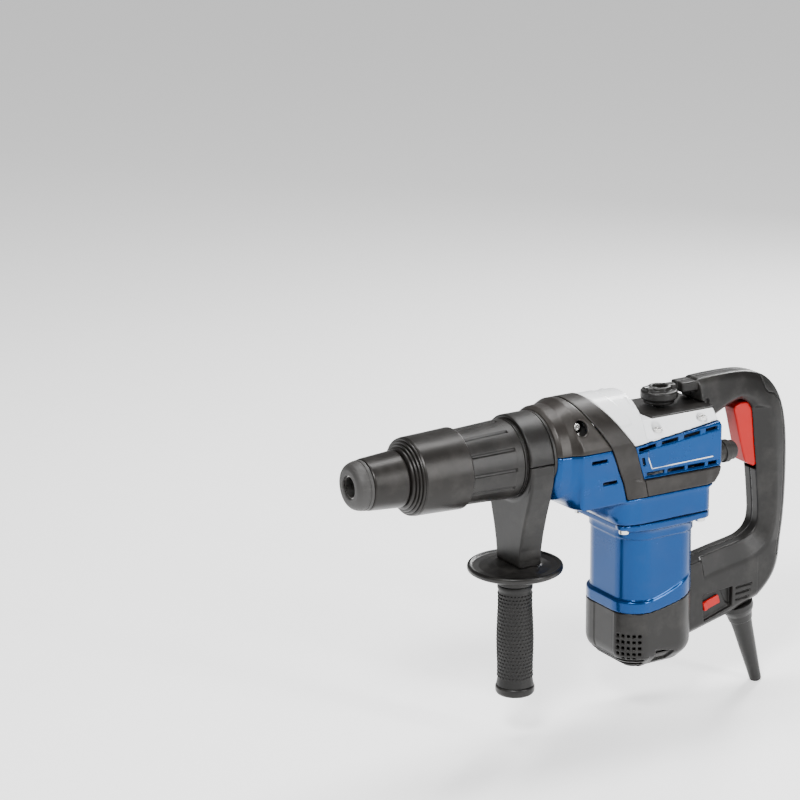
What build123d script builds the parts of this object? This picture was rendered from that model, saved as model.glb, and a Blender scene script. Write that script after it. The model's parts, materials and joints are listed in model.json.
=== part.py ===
from build123d import *
import os

# Combination rotary hammer with a front side handle and a rear D-handle.
# Millimetres. +X runs rearwards along the spindle axis, +Z is up.
# The origin is the mouth of the tool holder's bore, so the bit leaves along -X.

os.makedirs("parts", exist_ok=True)

# ---- driving dimensions ----
FIT = 0.05                      # radial clearance of every running fit
WALL = 3.0                      # housing wall

SHANK_R = 9.1                   # bore for an 18 mm tool shank
SHANK_DEPTH = 86.0
HOLDER_R = 16.0
CAP_END = 11.6
NOSE_START = 12.0
NOSE_END = 45.0
SLEEVE_START = 46.0
SLEEVE_END = 102.0
SLEEVE_R = 34.5
SLEEVE_REAR_R = 36.1
SLEEVE_WEB = 60.0               # rear face of the sleeve's front web
SLEEVE_REAR_BORE = 33.8

NECK_START = 90.0
NECK_R = 33.0
NECK_REAR_R = 35.4
CLAMP_START = 157.3
CLAMP_END = 181.7
CLAMP_R = 38.6
NECK_END = 185.0

CYLINDER_R = 21.0
CYLINDER_BORE = 16.05
CYLINDER_START = 118.0
CYLINDER_END = 236.0

GRIP_X = 165.8                  # axis of the side grip
GRIP_TOP = -98.1                # underside of the handle arm
GUARD_TOP = -98.2
GRIP_BOTTOM = -222.0
GUARD_R = 43.0
BOLT_R = 4.0

BARREL_R = 45.5                 # round front of the gear housing
BARREL_END = 276.0
HOUSING_END = 360.0
HALF_WIDTH = 44.0
DECK_Z = 23.0
PARTING_Z = -69.0
FLANGE_START = 253.5
FLANGE_END = 350.0
BOSS_R = 6.8
SCREW_SPOTS = [(258.5, 35.0), (258.5, -35.0), (341.0, 37.0), (341.0, -37.0)]
LUG_BOTTOM = -74.0

MOTOR_X = 302.0
MOTOR_HALF = 39.7               # half width of the rounded-square motor barrel
MOTOR_CORNER = 24.0
SKIRT_BOTTOM = -87.0            # lower edge of the slightly wider collar under the flange
BARREL_FOOT = -158.0
END_CAP_FRONT = 258.8
END_CAP_REAR = 341.0
END_CAP_HALF = 41.3
END_CAP_CORNER = 25.0
CAP_BOTTOM = -214.0
CAP_GAP = 0.1

CRANK_X = 272.0
CRANK_THROW = 14.0
WRIST_X = 206.0
BEVEL_X = 234.0
FLOOR_Z = -53.5                 # top of the gear housing's thick floor
GEAR_TOP = -40.0
GEAR_BOTTOM = -48.0
PLATE_TOP = -33.5
PLATE_BOTTOM = -38.5

KNOB_X = 320.0
KNOB_R = 17.0

HANDLE_HALF = 16.0
PIVOT = (424.0, 8.0)            # XZ of the trigger's pin
PIVOT_R = 2.5
BOOT_TOP = (414.0, -184.0)      # XZ of the boot's seat on the handle
BOOT_TILT = 17.0                # degrees from straight down, towards the rear
BOOT_LENGTH = 87.5
CORD_R = 4.5


# ---- helpers ----
ON_END = (Align.CENTER, Align.CENTER, Align.MIN)


def cyl_x(x0, x1, radius, y=0.0, z=0.0):
    """Cylinder along X from x0 to x1."""
    return Pos(x0, y, z) * Rot(0, 90, 0) * Cylinder(radius, x1 - x0, align=ON_END)


def cyl_y(y0, y1, radius, x, z):
    """Cylinder along Y from y0 to y1."""
    return Pos(x, y0, z) * Rot(-90, 0, 0) * Cylinder(radius, y1 - y0, align=ON_END)


def cyl_z(z0, z1, radius, x=0.0, y=0.0):
    """Cylinder along Z from z0 to z1."""
    return Pos(x, y, z0) * Cylinder(radius, z1 - z0, align=ON_END)


def block(x0, x1, y0, y1, z0, z1):
    """Box between two corners."""
    middle_point = Pos((x0 + x1) / 2, (y0 + y1) / 2, (z0 + z1) / 2)
    return middle_point * Box(abs(x1 - x0), abs(y1 - y0), abs(z1 - z0))


def spin_x(points):
    """Solid of revolution about the spindle axis from (x, radius) points."""
    return revolve(Plane.XZ * make_face(Polyline(*points, close=True)), Axis.X)


def spin_z(points, x):
    """Solid of revolution about a vertical axis at x from (radius, z) points."""
    return Pos(x, 0, 0) * revolve(Plane.XZ * make_face(Polyline(*points, close=True)), Axis.Z)


def side_plate(points, y0, y1, corner=0.0):
    """XZ outline, with rounded corners, extruded along Y."""
    outline = make_face(Polyline(*points, close=True))
    if corner:
        outline = fillet(outline.vertices(), corner)
    return extrude(Pos(0, y0, 0) * (Plane.XZ * outline), amount=y1 - y0, dir=(0, 1, 0))


def ring_x(x0, x1, outer, inner):
    return cyl_x(x0, x1, outer) - cyl_x(x0 - 1, x1 + 1, inner)


def ring_z(z0, z1, outer, inner, x):
    return cyl_z(z0, z1, outer, x) - cyl_z(z0 - 1, z1 + 1, inner, x)


def around_x(angles, solid):
    """Copies of one solid turned about the spindle axis."""
    return [Rot(angle, 0, 0) * solid for angle in angles]


def spur_gear(x, z0, z1, pitch_r, teeth, bore, first=0.0):
    """Spur gear of module 1 with straight-sided teeth, the first one at angle `first`."""
    root = pitch_r - 1.15
    half_root = 0.95
    half_tip = 0.4
    tooth_face = make_face(Polyline((root - 0.6, -half_root), (pitch_r + 0.9, -half_tip),
                                    (pitch_r + 0.9, half_tip), (root - 0.6, half_root), close=True))
    tooth = extrude(tooth_face, amount=z1 - z0)
    turned = [Pos(x, 0, z0) * Rot(0, 0, first + 360 * i / teeth) * tooth for i in range(teeth)]
    return cyl_z(z0, z1, root, x) + turned - cyl_z(z0 - 1, z1 + 1, bore, x)


def save(node, shape):
    export_step(shape, f"parts/{node}.step")


# ---- chuck ----
def make_dust_cap():
    return spin_x([(-2, 10.0), (-2, 16.5), (0.5, 19.8), (4, 21.2), (CAP_END, 22.1), (CAP_END, HOLDER_R),
                   (0, HOLDER_R), (0, 10.0)])


def make_nose_sleeve():
    return spin_x([(NOSE_START, HOLDER_R), (NOSE_START, 22.0), (13, 22.6), (NOSE_END - 1, 25.0),
                   (NOSE_END, 24.4), (NOSE_END, HOLDER_R)])


def roller_window(side):
    return block(40.5, 58.5, 0, side * 20, -2.7, 2.7)


def make_tool_holder():
    body = spin_x([(0, SHANK_R), (0, HOLDER_R), (96, HOLDER_R), (96, 20), (112, 20), (112, 24), (130, 24),
                   (130, CYLINDER_R), (CYLINDER_START, CYLINDER_R), (CYLINDER_START, 12 + FIT),
                   (SHANK_DEPTH, 12 + FIT), (SHANK_DEPTH, SHANK_R)])
    groove = ring_x(NECK_START, 92, HOLDER_R + 1, 15)
    return body - groove - roller_window(1) - roller_window(-1)


def make_locking_rollers():
    return [cyl_x(41, 58, 2.5, side * 12.7, 0) for side in (1, -1)]


def make_retaining_ring():
    """Split ring in the holder's groove with the washer that the spring sits on."""
    washer = ring_x(88, NECK_START, 27, HOLDER_R)
    return washer + ring_x(NECK_START, 92, 19, 15)


def make_chuck_spring():
    wire_r = 1.0
    coil_r = 19.5
    start = SLEEVE_WEB + wire_r + 0.1
    length = 88 - start - wire_r - 0.1
    path = Helix(length / 6, length, coil_r)
    section = Plane(path @ 0, z_dir=path % 0) * Circle(wire_r)
    return Pos(start, 0, 0) * Rot(0, 90, 0) * sweep(section, path)


def make_locking_sleeve():
    outline = [(SLEEVE_START, HOLDER_R + FIT), (SLEEVE_START, 25.2)]
    for step in range(4):
        x = SLEEVE_START + 0.6 + 2.1 * step
        radius = 26.6 + 2.3 * step
        outline += [(x, radius), (x + 1.2, radius + 0.5), (x + 1.2, radius - 0.6), (x + 2.0, radius - 0.4)]
    outline += [(SLEEVE_START + 9, SLEEVE_R - 0.6), (SLEEVE_START + 9.8, SLEEVE_R),
                (SLEEVE_END - 1, SLEEVE_REAR_R), (SLEEVE_END, SLEEVE_REAR_R - 0.8),
                (SLEEVE_END, SLEEVE_REAR_BORE), (78, SLEEVE_REAR_BORE), (78, 30.5), (SLEEVE_WEB, 30.5),
                (SLEEVE_WEB, HOLDER_R + FIT)]
    return spin_x(outline)


# ---- neck and spindle bearing ----
def make_neck():
    body = spin_x([(NECK_START, 29), (NECK_START, NECK_R - 0.6), (NECK_START + 0.6, NECK_R), (114, 33.2),
                   (153, 35.2), (153, 34.4), (154.2, 34.4), (154.2, 35.3), (155.2, 35.3), (155.2, 34.5),
                   (156.3, 34.5), (156.3, NECK_REAR_R), (157.1, NECK_REAR_R), (157.1, NECK_R), (182, NECK_R),
                   (182, 38.2), (NECK_END, 38.2), (NECK_END, 27), (110, 27), (110, 29)])
    slot = block(103, 146, -1.3, 1.3, 32.2, 40)
    return body - around_x(range(15, 375, 30), slot)


def make_spindle_bearing():
    balls = around_x(range(0, 360, 30), Pos(103, 0, 24.5) * Sphere(2.4))
    outer = ring_x(96, 110, 29, 26.6) - ring_x(100.4, 105.6, 27.3, 20)
    inner = ring_x(96, 110, 22.4, 20 + FIT / 2) - ring_x(100.4, 105.6, 24, 21.7)
    return [outer, inner] + balls


# ---- side handle ----
def make_clamp_band():
    """Steel strap round the neck with the welded nut that the grip bolt pulls on."""
    band = ring_x(161, 177.6, 34.7, NECK_R + 0.04) - block(150, 190, -7, 7, -40, -20)
    nut = block(161.2, 177.4, -8.2, 8.2, -40.5, -33.4)
    return band + nut - cyl_z(-60, -20, BOLT_R + FIT, GRIP_X)


def ring_half(side):
    shell = spin_x([(CLAMP_START, 34.75), (CLAMP_START, 37.6), (CLAMP_START + 1, CLAMP_R),
                    (CLAMP_END - 1, CLAMP_R), (CLAMP_END, 37.6), (CLAMP_END, 34.75)])
    lips = ring_x(CLAMP_START, 160.8, 34.8, NECK_R + 0.1) + ring_x(177.8, CLAMP_END, 34.8, NECK_R + 0.1)
    half = block(150, 190, -60, 60, 0, side * 60)
    return (shell + lips) & half


def make_clamp_cap():
    return ring_half(1)


def make_handle_arm():
    right = [(40.0, 0.0), (39.6, -14.0), (34.5, -32.0), (27.5, -52.0), (22.0, -72.0), (19.2, -86.0),
             (19.0, GRIP_TOP)]
    left = [(-y, z) for y, z in reversed(right)]
    edge = Spline(*right)
    other = Spline(*left)
    outline = make_face([edge, Line(right[-1], left[0]), other, Line(left[-1], right[0])])
    arm = extrude(Pos(CLAMP_START + 0.4, 0, 0) * (Plane.YZ * outline), amount=21.8)
    arm = chamfer(arm.edges().filter_by(lambda e: e.length > 60), 2.0)
    arm = arm - cyl_x(150, 190, 37.5) + ring_half(-1)
    return arm - cyl_z(-110, -30, BOLT_R + 0.1, GRIP_X) - block(160.8, 177.8, -8.6, 8.6, -41, -30)


def make_grip_bolt():
    return cyl_z(-200, -33.9, BOLT_R, GRIP_X) + cyl_z(-206, -200, 6.5, GRIP_X)


def make_hand_guard():
    """Guard disc and grip core, one moulding that turns on the bolt."""
    return spin_z([(BOLT_R, GUARD_TOP), (20, GUARD_TOP), (24, -100.2), (34, -101.8), (38.5, -100.6),
                   (40.5, -99.4), (42.4, -99.8), (GUARD_R, -101.4), (42.6, -104.0), (40, -105.6), (30, -106.6),
                   (19, -107.4), (16.5, -110), (16.2, -117.6), (11, -117.7), (11, -213.5), (6.6, -213.5),
                   (6.6, -200), (BOLT_R, -200)], GRIP_X)


def make_grip_sleeve():
    return spin_z([(11.0, -117.8), (15.2, -117.8), (15.8, -119.6), (15.2, -122), (14.6, -134), (15.3, -150),
                   (16.0, -172), (15.7, -186), (15.2, -201), (15.8, -208), (16.9, -213.4), (11.0, -213.4)],
                  GRIP_X)


def make_grip_end_cap():
    return spin_z([(0, -213.6), (16.9, -213.6), (17.8, -215), (17.8, -219.4), (16.4, GRIP_BOTTOM),
                   (0, GRIP_BOTTOM)], GRIP_X)


# ---- housing ----
def barrel(inset):
    front = 185 + inset
    return spin_x([(front, 0), (front, 39 - inset), (188 + inset, 41.2 - inset), (199, 41.6 - inset),
                   (207, BARREL_R - inset), (BARREL_END - inset, BARREL_R - inset), (BARREL_END - inset, 0)])


def rear_block(inset, top=DECK_Z):
    """Straight-sided rear body with the two sloped shoulders under the top deck."""
    half = HALF_WIDTH - inset
    slope = [(-half, -46), (half, -46), (half, 8.5), (31.5, top - inset), (-31.5, top - inset), (-half, 8.5)]
    section = make_face(Polyline(*slope, close=True))
    return extrude(Pos(207 + inset, 0, 0) * (Plane.YZ * section), amount=HOUSING_END - 207 - 2 * inset)


def crankcase_outline(inset):
    half = HALF_WIDTH + 1 - inset
    rear = FLANGE_END - inset
    outline = make_face(Polyline((FLANGE_START + inset, -half), (rear, -half), (rear, half),
                                 (FLANGE_START + inset, half), close=True))
    outline = fillet([v for v in outline.vertices() if v.X < MOTOR_X], 18.0)
    return fillet([v for v in outline.vertices() if v.X > rear - 0.01], 10.0)


def crankcase(inset, z0, z1):
    return extrude(Pos(0, 0, z0) * crankcase_outline(inset), amount=z1 - z0)


def keel(inset):
    """Underside that slopes from the barrel down to the front of the flange."""
    rear = FLANGE_START + 2
    points = [(190 + inset, -30 + inset), (190 + inset, -36 + inset), (207, -44.5 + inset),
              (232, -58 + inset), (rear, -67 + inset), (rear, PARTING_Z + inset),
              (290, PARTING_Z + inset), (290, -30 + inset)]
    return side_plate(points, -34 + inset, 34 - inset) & cyl_x(180, 300, 74 - inset)


def bosses(radius, z0, z1):
    return [cyl_z(z0, z1, radius, x, y) for x, y in SCREW_SPOTS]


def envelope():
    return barrel(0) + rear_block(0) + crankcase(0, PARTING_Z, -40) + keel(0)


def cavity():
    inner = barrel(WALL) + rear_block(WALL) + crankcase(WALL, FLOOR_Z, -42) + keel(WALL)
    return inner - block(180, 370, -60, 60, -90, FLOOR_Z) + cyl_x(180, 190, 27)


def region(points):
    return side_plate(points, -70, 70)


# ---- where the shell is split: side outlines ----
STRAP_FRONT = [(213, 47), (225.5, 26), (238, 5), (251, -28), (255, -44)]
STRAP_REAR = [(233, 47), (247.5, 26), (262, 5), (273, -28), (276.5, -44)]
hood_region = region([(180, 5.2), (237.7, 5.2), (225.2, 26), (212.7, 47), (212.7, 60), (180, 60)])
strap_region = region(STRAP_FRONT + STRAP_REAR[::-1])
cover_region = region([(233.3, 60), (233.3, 47), (247.8, 26), (262.3, 5), (262.8, 3.8), (361, 13), (361, 60)])
panel_region = region([(262.4, 4.4), (263.0, 3.4), (361, 12.6), (361, -29.0), (273.3, -27.8)])
trim_region = region([(273.4, -28.2), (361, -29.4), (361, -44), (276.8, -44)])
rear_wall_zone = block(330, 370, -36, 36, -60, 30)
deck_zone = block(291, 362, -30, 30, 10, 60)
cap_region = region([(240, -230), (240, -157), (284, -157), (296, -155.5), (312, -152.4), (330, -147.4),
                     (350, -141), (350, -230)])
belt_region = region([(240, -157), (284, -157), (296, -155.5), (312, -152.4), (330, -147.4), (350, -141),
                      (350, -127), (330, -134), (312, -140.2), (296, -143.8), (284, -145.4), (240, -145.4)])


def make_upper_hood(shell):
    hole = cyl_y(-60, -30, 6.4, 211, 27)
    return (shell & hood_region) - hole


def vent_slots(rows, length, height, y0, y1):
    return [block(x, x + length, y0, y1, z, z + height) for x, z in rows]


def make_side_panel(shell, side):
    half = block(250, 362, side * 36, side * 60, -40, 20)
    panel = shell & panel_region & half
    top_row = [(272 + 22 * i, 1.0 + 2.0 * i) for i in range(4)]
    low_row = [(279 + 21 * i, -24.0) for i in range(4)]
    cuts = vent_slots(top_row + low_row, 16, 3.0, side * 39, side * 50)
    return panel - cuts


def make_gear_housing(shell):
    upper = hood_region + strap_region + cover_region + panel_region + trim_region
    body = shell - upper
    floor = crankcase(WALL - 1, PARTING_Z, FLOOR_Z) + keel(WALL - 1)
    floor = floor & block(200, HOUSING_END, -60, 60, PARTING_Z, FLOOR_Z)
    body = body + floor + bosses(BOSS_R, PARTING_Z, -52)[:2]
    body = body - cyl_z(-70, -50, 14, MOTOR_X)
    body = body - cyl_z(-67, -50, 7 + FIT, CRANK_X)
    for side in (1, -1):
        body = body - vent_slots([(219, -3.5), (226, -24)], 14, 3.0, side * 38, side * 50)
    return body - bosses(2.05, PARTING_Z - 1, -56)


def make_strap_band(shell_outer, hollow):
    raised = envelope() + cyl_x(190, BARREL_END + 1, BARREL_R + 0.9)
    sides = block(207, 300, -HALF_WIDTH - 1.2, HALF_WIDTH + 1.2, -46, 5)
    return ((raised + sides) & strap_region) - hollow


def make_top_cover(shell):
    return (shell & cover_region) - deck_zone


def make_knob_deck(shell):
    return (shell & cover_region & deck_zone) - cyl_z(0, 40, 5 + FIT, KNOB_X)


def make_rear_cover(shell):
    return shell & panel_region & rear_wall_zone


def make_lower_trim(shell):
    return shell & trim_region


def make_mode_knob():
    body = spin_z([(0, 26), (KNOB_R - 0.8, 26), (KNOB_R, 27), (KNOB_R, 35), (KNOB_R - 1, 36.5), (14, 37),
                   (0, 37)], KNOB_X)
    bar = Pos(KNOB_X, 0, 37) * Rot(0, 0, 30) * Box(31, 11, 10, align=ON_END)
    bar = fillet(bar.edges().filter_by(Axis.Z), 3.0)
    trimmed = bar & cyl_z(30, 42, KNOB_R - 0.5, KNOB_X)
    fork = cyl_z(10, 15, 9, KNOB_X) + cyl_z(4, 15, 2.5, KNOB_X - 7)
    return body + trimmed - cyl_z(33, 60, 4.2, KNOB_X) + cyl_z(8, 30, 5, KNOB_X) + fork


def make_rear_bumpers():
    start = HOUSING_END + FIT
    stub = cyl_x(start, 384, 9, 28, -22) + cyl_x(start, 366, 10.5, 28, -22) + cyl_x(370, 376, 10.5, 28, -22)
    return [stub, mirror(stub, Plane.XZ)]


# ---- hammer mechanism ----
def make_cylinder():
    return ring_x(CYLINDER_START, CYLINDER_END, CYLINDER_R, CYLINDER_BORE)


def make_beat_piece():
    return spin_x([(88, 0), (88, 8.9), (100, 8.9), (102, 12), (116, 12), (116.5, 7.5), (138, 7.5), (138, 0)])


def make_striker():
    return spin_x([(146, 0), (146, 9), (150, 10), (150, 16), (178, 16), (178, 0)])


def make_piston():
    body = cyl_x(192, 219, 16) - block(198, 220, -15, 15, -7, 7)
    return body - cyl_z(-20, 20, 4, WRIST_X)


def make_wrist_pin():
    return cyl_z(-14, 14, 4, WRIST_X)


def make_connecting_rod():
    big_x = CRANK_X - CRANK_THROW
    rod = block(WRIST_X, big_x, -4, 4, -5, 5) + cyl_z(-5, 5, 7, WRIST_X) + cyl_z(-6, 6, 10, big_x)
    return rod - cyl_z(-20, 20, 4 + FIT, WRIST_X) - cyl_z(-20, 20, 6 + FIT, big_x)


def make_crankshaft():
    return (cyl_z(-66, -24, 7, CRANK_X) + cyl_z(-24, -8, 22, CRANK_X)
            + cyl_z(-9, 9, 6, CRANK_X - CRANK_THROW))


def make_crank_gear():
    return spur_gear(CRANK_X, GEAR_BOTTOM, GEAR_TOP, 26, 52, 7)


def make_bevel_pinion():
    """Vertical shaft with its drive gear below and the bevel pinion above."""
    gear = spur_gear(BEVEL_X, GEAR_BOTTOM, GEAR_TOP, 12, 24, 2, first=180 / 24)
    cone = spin_z([(0, -33), (7.6, -33), (5.2, -23.5), (0, -23.5)], BEVEL_X)
    tooth = Pos(0, 0, -28.2) * Rot(0, -16.2, 0) * Box(2.4, 1.7, 8.4)
    teeth = [Pos(BEVEL_X, 0, 0) * Rot(0, 0, 360 * i / 9) * Pos(-7.2, 0, 0) * tooth for i in range(9)]
    return gear + cyl_z(-50, -32, 4, BEVEL_X) + cone + teeth


def make_bevel_ring():
    """Bevel ring gear that runs free on the cylinder in the chiselling position."""
    bore = CYLINDER_R + FIT
    body = spin_x([(206, bore), (206, 27), (214, 34), (221.5, 34), (224, 24), (224, bore)])
    tooth = Pos(223.6, 0, 28.2) * Rot(0, -16.2, 0) * Box(2.2, 1.7, 8.0)
    return body + around_x([180 + 360 * (i + 0.5) / 31 for i in range(31)], tooth)


def make_shaft_bearings():
    """Sealed bearings of the crankshaft, the bevel shaft and the two ends of the armature."""
    crank = ring_z(PLATE_BOTTOM, PLATE_TOP, 15, 7, CRANK_X)
    bevel = ring_z(PLATE_BOTTOM, PLATE_TOP, 8, 4, BEVEL_X)
    return [crank, bevel, ring_z(-66, -57, 14, 5, MOTOR_X), ring_z(-190, -182, 11, 5, MOTOR_X)]


def make_bearing_plate():
    plate = block(222, 346, -40.8, 40.8, PLATE_BOTTOM, PLATE_TOP)
    plate = plate & (barrel(WALL) + rear_block(WALL) + keel(WALL))
    return plate - [cyl_z(-50, -20, radius, x) for radius, x in ((8, BEVEL_X), (15, CRANK_X), (9, MOTOR_X))]


# ---- motor ----
def make_gasket():
    return crankcase(2, PARTING_Z - 1, PARTING_Z) - cyl_z(-80, -60, 15, MOTOR_X) - bosses(BOSS_R, -80, -60)


def rounded_plan(x0, x1, half, corner, z0, z1):
    """Upright block with a rounded-rectangle plan."""
    plan = make_face(Polyline((x0, -half), (x1, -half), (x1, half), (x0, half), close=True))
    return extrude(Pos(0, 0, z0) * fillet(plan.vertices(), corner), amount=z1 - z0)


def barrel_plan(grow, z0, z1):
    half = MOTOR_HALF + grow
    return rounded_plan(MOTOR_X - half, MOTOR_X + half, half, MOTOR_CORNER + grow, z0, z1)


def end_cap_plan(inset, z0, z1):
    return rounded_plan(END_CAP_FRONT + inset, END_CAP_REAR - inset, END_CAP_HALF - inset,
                        END_CAP_CORNER - inset, z0, z1)


def make_motor_housing():
    top = PARTING_Z - 1
    flange = crankcase(0, LUG_BOTTOM, top) + bosses(BOSS_R, LUG_BOTTOM, top)[:2]
    barrel_body = barrel_plan(0, BARREL_FOOT, LUG_BOTTOM) + barrel_plan(1.2, SKIRT_BOTTOM, LUG_BOTTOM)
    belt = end_cap_plan(0, BARREL_FOOT, -120) & belt_region
    body = flange + (barrel_body - cap_region) + belt - barrel_plan(-WALL, BARREL_FOOT - 1, LUG_BOTTOM + 1)
    return body - cyl_z(-80, -60, 15, MOTOR_X) - bosses(2.3, -80, -60)


def make_stator():
    core = ring_z(-137, -92, 36.5, 26, MOTOR_X)
    reach = cyl_z(-140, -90, 31.5, MOTOR_X)
    slots = [Pos(MOTOR_X, 0, -115) * Rot(0, 0, angle) * Box(90, 6, 60) for angle in (45, 135)]
    return core - [slot & reach for slot in slots]


def make_field_coils():
    top = ring_z(-91.8, -84, 34, 26.5, MOTOR_X)
    low = ring_z(-145, -137.2, 34, 26.5, MOTOR_X)
    return [top, low]


def make_armature_shaft():
    shaft = cyl_z(-192, -50, 5, MOTOR_X)
    return shaft + spur_gear(MOTOR_X, GEAR_BOTTOM - 2, GEAR_TOP + 2, 4, 8, 0.5, first=22.5)


def make_armature_core():
    core = ring_z(-135, -94, 24.6, 5, MOTOR_X)
    slot = Pos(23, 0, -115) * Box(7, 1.6, 60)
    return core - [Pos(MOTOR_X, 0, 0) * Rot(0, 0, 30 * i) * slot for i in range(12)]


def make_armature_windings():
    top = spin_z([(5, -93.9), (22, -93.9), (20, -88), (9, -87), (5, -87)], MOTOR_X)
    low = spin_z([(5, -135.1), (22, -135.1), (20, -142), (9, -146), (5, -146)], MOTOR_X)
    return [top, low]


def make_commutator():
    body = ring_z(-168, -150, 13, 5, MOTOR_X)
    slot = Pos(12.6, 0, -160) * Box(1.4, 0.5, 15)
    return body - [Pos(MOTOR_X, 0, 0) * Rot(0, 0, 15 * i) * slot for i in range(24)]


def make_cooling_fan():
    hub = ring_z(-83, -74, 11, 5, MOTOR_X) + ring_z(-77, -75.4, 35, 10.5, MOTOR_X)
    blade = Pos(22, 0, -79.4) * Rot(0, 0, 24) * Box(23, 1.2, 6)
    return hub + [Pos(MOTOR_X, 0, 0) * Rot(0, 0, 24 * i) * blade for i in range(15)]


def make_brush_holders():
    holder = block(17, 35, -6, 6, -166, -153) - block(16, 33, -4, 4, -164, -155)
    return [Pos(MOTOR_X, 0, 0) * Rot(0, 0, angle) * holder for angle in (90, 270)]


def make_carbon_brushes():
    brush = block(13.1, 30, -3.9, 3.9, -163.9, -155.1)
    return [Pos(MOTOR_X, 0, 0) * Rot(0, 0, angle) * brush for angle in (90, 270)]


def bottom_edges(solid, z):
    return solid.edges().filter_by(lambda edge: abs(edge.center().Z - z) < 0.01)


def make_motor_end_cap():
    """Cup with a bevelled foot, a grid of air inlets at its front corner and long louvres below."""
    outer = end_cap_plan(0, CAP_BOTTOM, -130)
    outer = chamfer(bottom_edges(outer, CAP_BOTTOM), 13.0)
    inner = end_cap_plan(WALL, CAP_BOTTOM + WALL, -130)
    inner = chamfer(bottom_edges(inner, CAP_BOTTOM + WALL), 12.0)
    shell = (outer - inner) & (Pos(0, 0, -CAP_GAP) * cap_region)
    boss = ring_z(CAP_BOTTOM + 2, -181, 15, 11, MOTOR_X)
    vents = [Pos(MOTOR_X, 0, z) * Rot(0, 0, angle) * block(34, 56, -1.4, 1.4, -1.3, 1.3)
             for z in (-178.5, -184.3, -190.1, -195.9) for angle in (-149, -143, -137, -131, -125)]
    louvres = [Pos(MOTOR_X, 0, z) * Rot(0, 0, angle) * block(30, 56, -1.6, 1.6, -0.8, 0.8)
               for z in (-202, -206, -210) for angle in range(-174, -120, 6)]
    return shell - vents - louvres + boss


def make_housing_screws():
    screws = []
    for x, y in SCREW_SPOTS:
        socket = cyl_z(LUG_BOTTOM - 5, LUG_BOTTOM - 1.6, 2.3, x, y)
        head = cyl_z(LUG_BOTTOM - 4, LUG_BOTTOM, 4.6, x, y) - socket
        screws.append(head + cyl_z(LUG_BOTTOM, -57, 2, x, y))
    return screws


# ---- D-handle ----
HANDLE_OUTLINE = [(345.5, 43), (372, 44.6), (409, 44), (432, 37), (447, 21), (457, 0), (461, -30),
                  (461.5, -70), (459.5, -108), (453, -146), (444, -164), (431, -177.5), (392, -190),
                  (330, -205), (330, -131), (347, -130.5), (366, -127.4), (388, -123.6), (407, -120.6),
                  (416, -118.4), (423, -114), (428.4, -107), (429.4, -98), (427, -66), (422.6, -30),
                  (419, 2), (417, 9), (412, 14.6), (404, 17.8), (396, 16.6), (384, 12), (372, 5),
                  (362, -6), (360.4, -6), (360.4, 23.3), (345.5, 23.3)]


def handle_body():
    recess = end_cap_plan(-0.3, -230, -120) + barrel_plan(0.3, -230, -60)
    return side_plate(HANDLE_OUTLINE, -HANDLE_HALF, HANDLE_HALF) - recess


def handle_hollow():
    return side_plate([(428, 0), (433, 14), (440, 8), (451, -20), (453, -70), (451, -106), (445, -142),
                       (434, -164), (426, -168), (360, -186), (360, -137), (388, -132), (416, -127),
                       (431, -118), (436, -104), (432, -50)], -11, 11)


def soft_band():
    outer = side_plate(HANDLE_OUTLINE, -HANDLE_HALF, HANDLE_HALF)
    inner = side_plate([(x - 4.0, z) for x, z in HANDLE_OUTLINE], -HANDLE_HALF - 1, HANDLE_HALF + 1)
    return (outer - inner) & block(440, 470, -20, 20, -140, 12)


def trigger_slot():
    return block(411, 434, -8.8, 8.8, -53, 22) - block(400, 440, -20, 20, 14.5, 30)


def lock_recess():
    """Square pocket around the lock switch, with its slot into the hollow."""
    return block(362, 392, -20, -12.8, -187, -162) + block(362, 380, -13, -10.5, -177.5, -169)


boot_place = Pos(BOOT_TOP[0], 0, BOOT_TOP[1]) * Rot(0, -BOOT_TILT, 0)
boot_hole = boot_place * Cylinder(8 + FIT, 48)


def make_handle_shell(side):
    half = block(320, 470, 0, side * 20, -220, 60)
    body = handle_body() - handle_hollow() - soft_band() - trigger_slot()
    pivot_hole = cyl_y(-14, 14, PIVOT_R, PIVOT[0], PIVOT[1])
    return (body - lock_recess() - pivot_hole - boot_hole) & half


def make_soft_grip():
    return soft_band()


def make_trigger():
    blade = side_plate([(399.4, 9.5), (405, 12.6), (412, 13.4), (420, 13.8), (428, 13.4), (428, -48),
                        (424, -50.5), (413.8, -45), (410.6, -34), (406.4, -18), (402.4, -2)], -8.3, 8.3)
    return blade + cyl_y(-13, 13, PIVOT_R - FIT, PIVOT[0], PIVOT[1])


def make_switch_module():
    return block(438, 448, -9, 9, -56, -16) + block(434.6, 438, -2.5, 2.5, -32, -26)


def make_lock_switch():
    tilt = Pos(372.8, 0, -173.0) * Rot(0, -16, 0)
    slider = block(-9.5, 9.5, -15.4, -13.0, -4.2, 4.2)
    return tilt * (slider + block(-9.5, -5.5, -16.6, -15.4, -4.2, 4.2))


def make_cord_boot():
    """Flexible tapered sleeve with a collar against the handle and a stem inside it."""
    profile = [(CORD_R, 18), (8, 18), (8, 1.4), (15.2, 1.4), (15.2, -6), (12.4, -12), (11.2, -19), (10.4, -20),
               (9.4, -30), (8.0, -52), (6.4, -74), (5.6, -BOOT_LENGTH), (CORD_R, -BOOT_LENGTH)]
    body = boot_place * revolve(Plane.XZ * make_face(Polyline(*profile, close=True)), Axis.Z)
    return body - (handle_body() - boot_hole)


def make_cord_clamp():
    """Bar across the hollow of the handle, just behind the boot's stem."""
    bar = Box(9, 20, 5, align=ON_END)
    return boot_place * Pos(0, 0, 21.5) * bar


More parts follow.
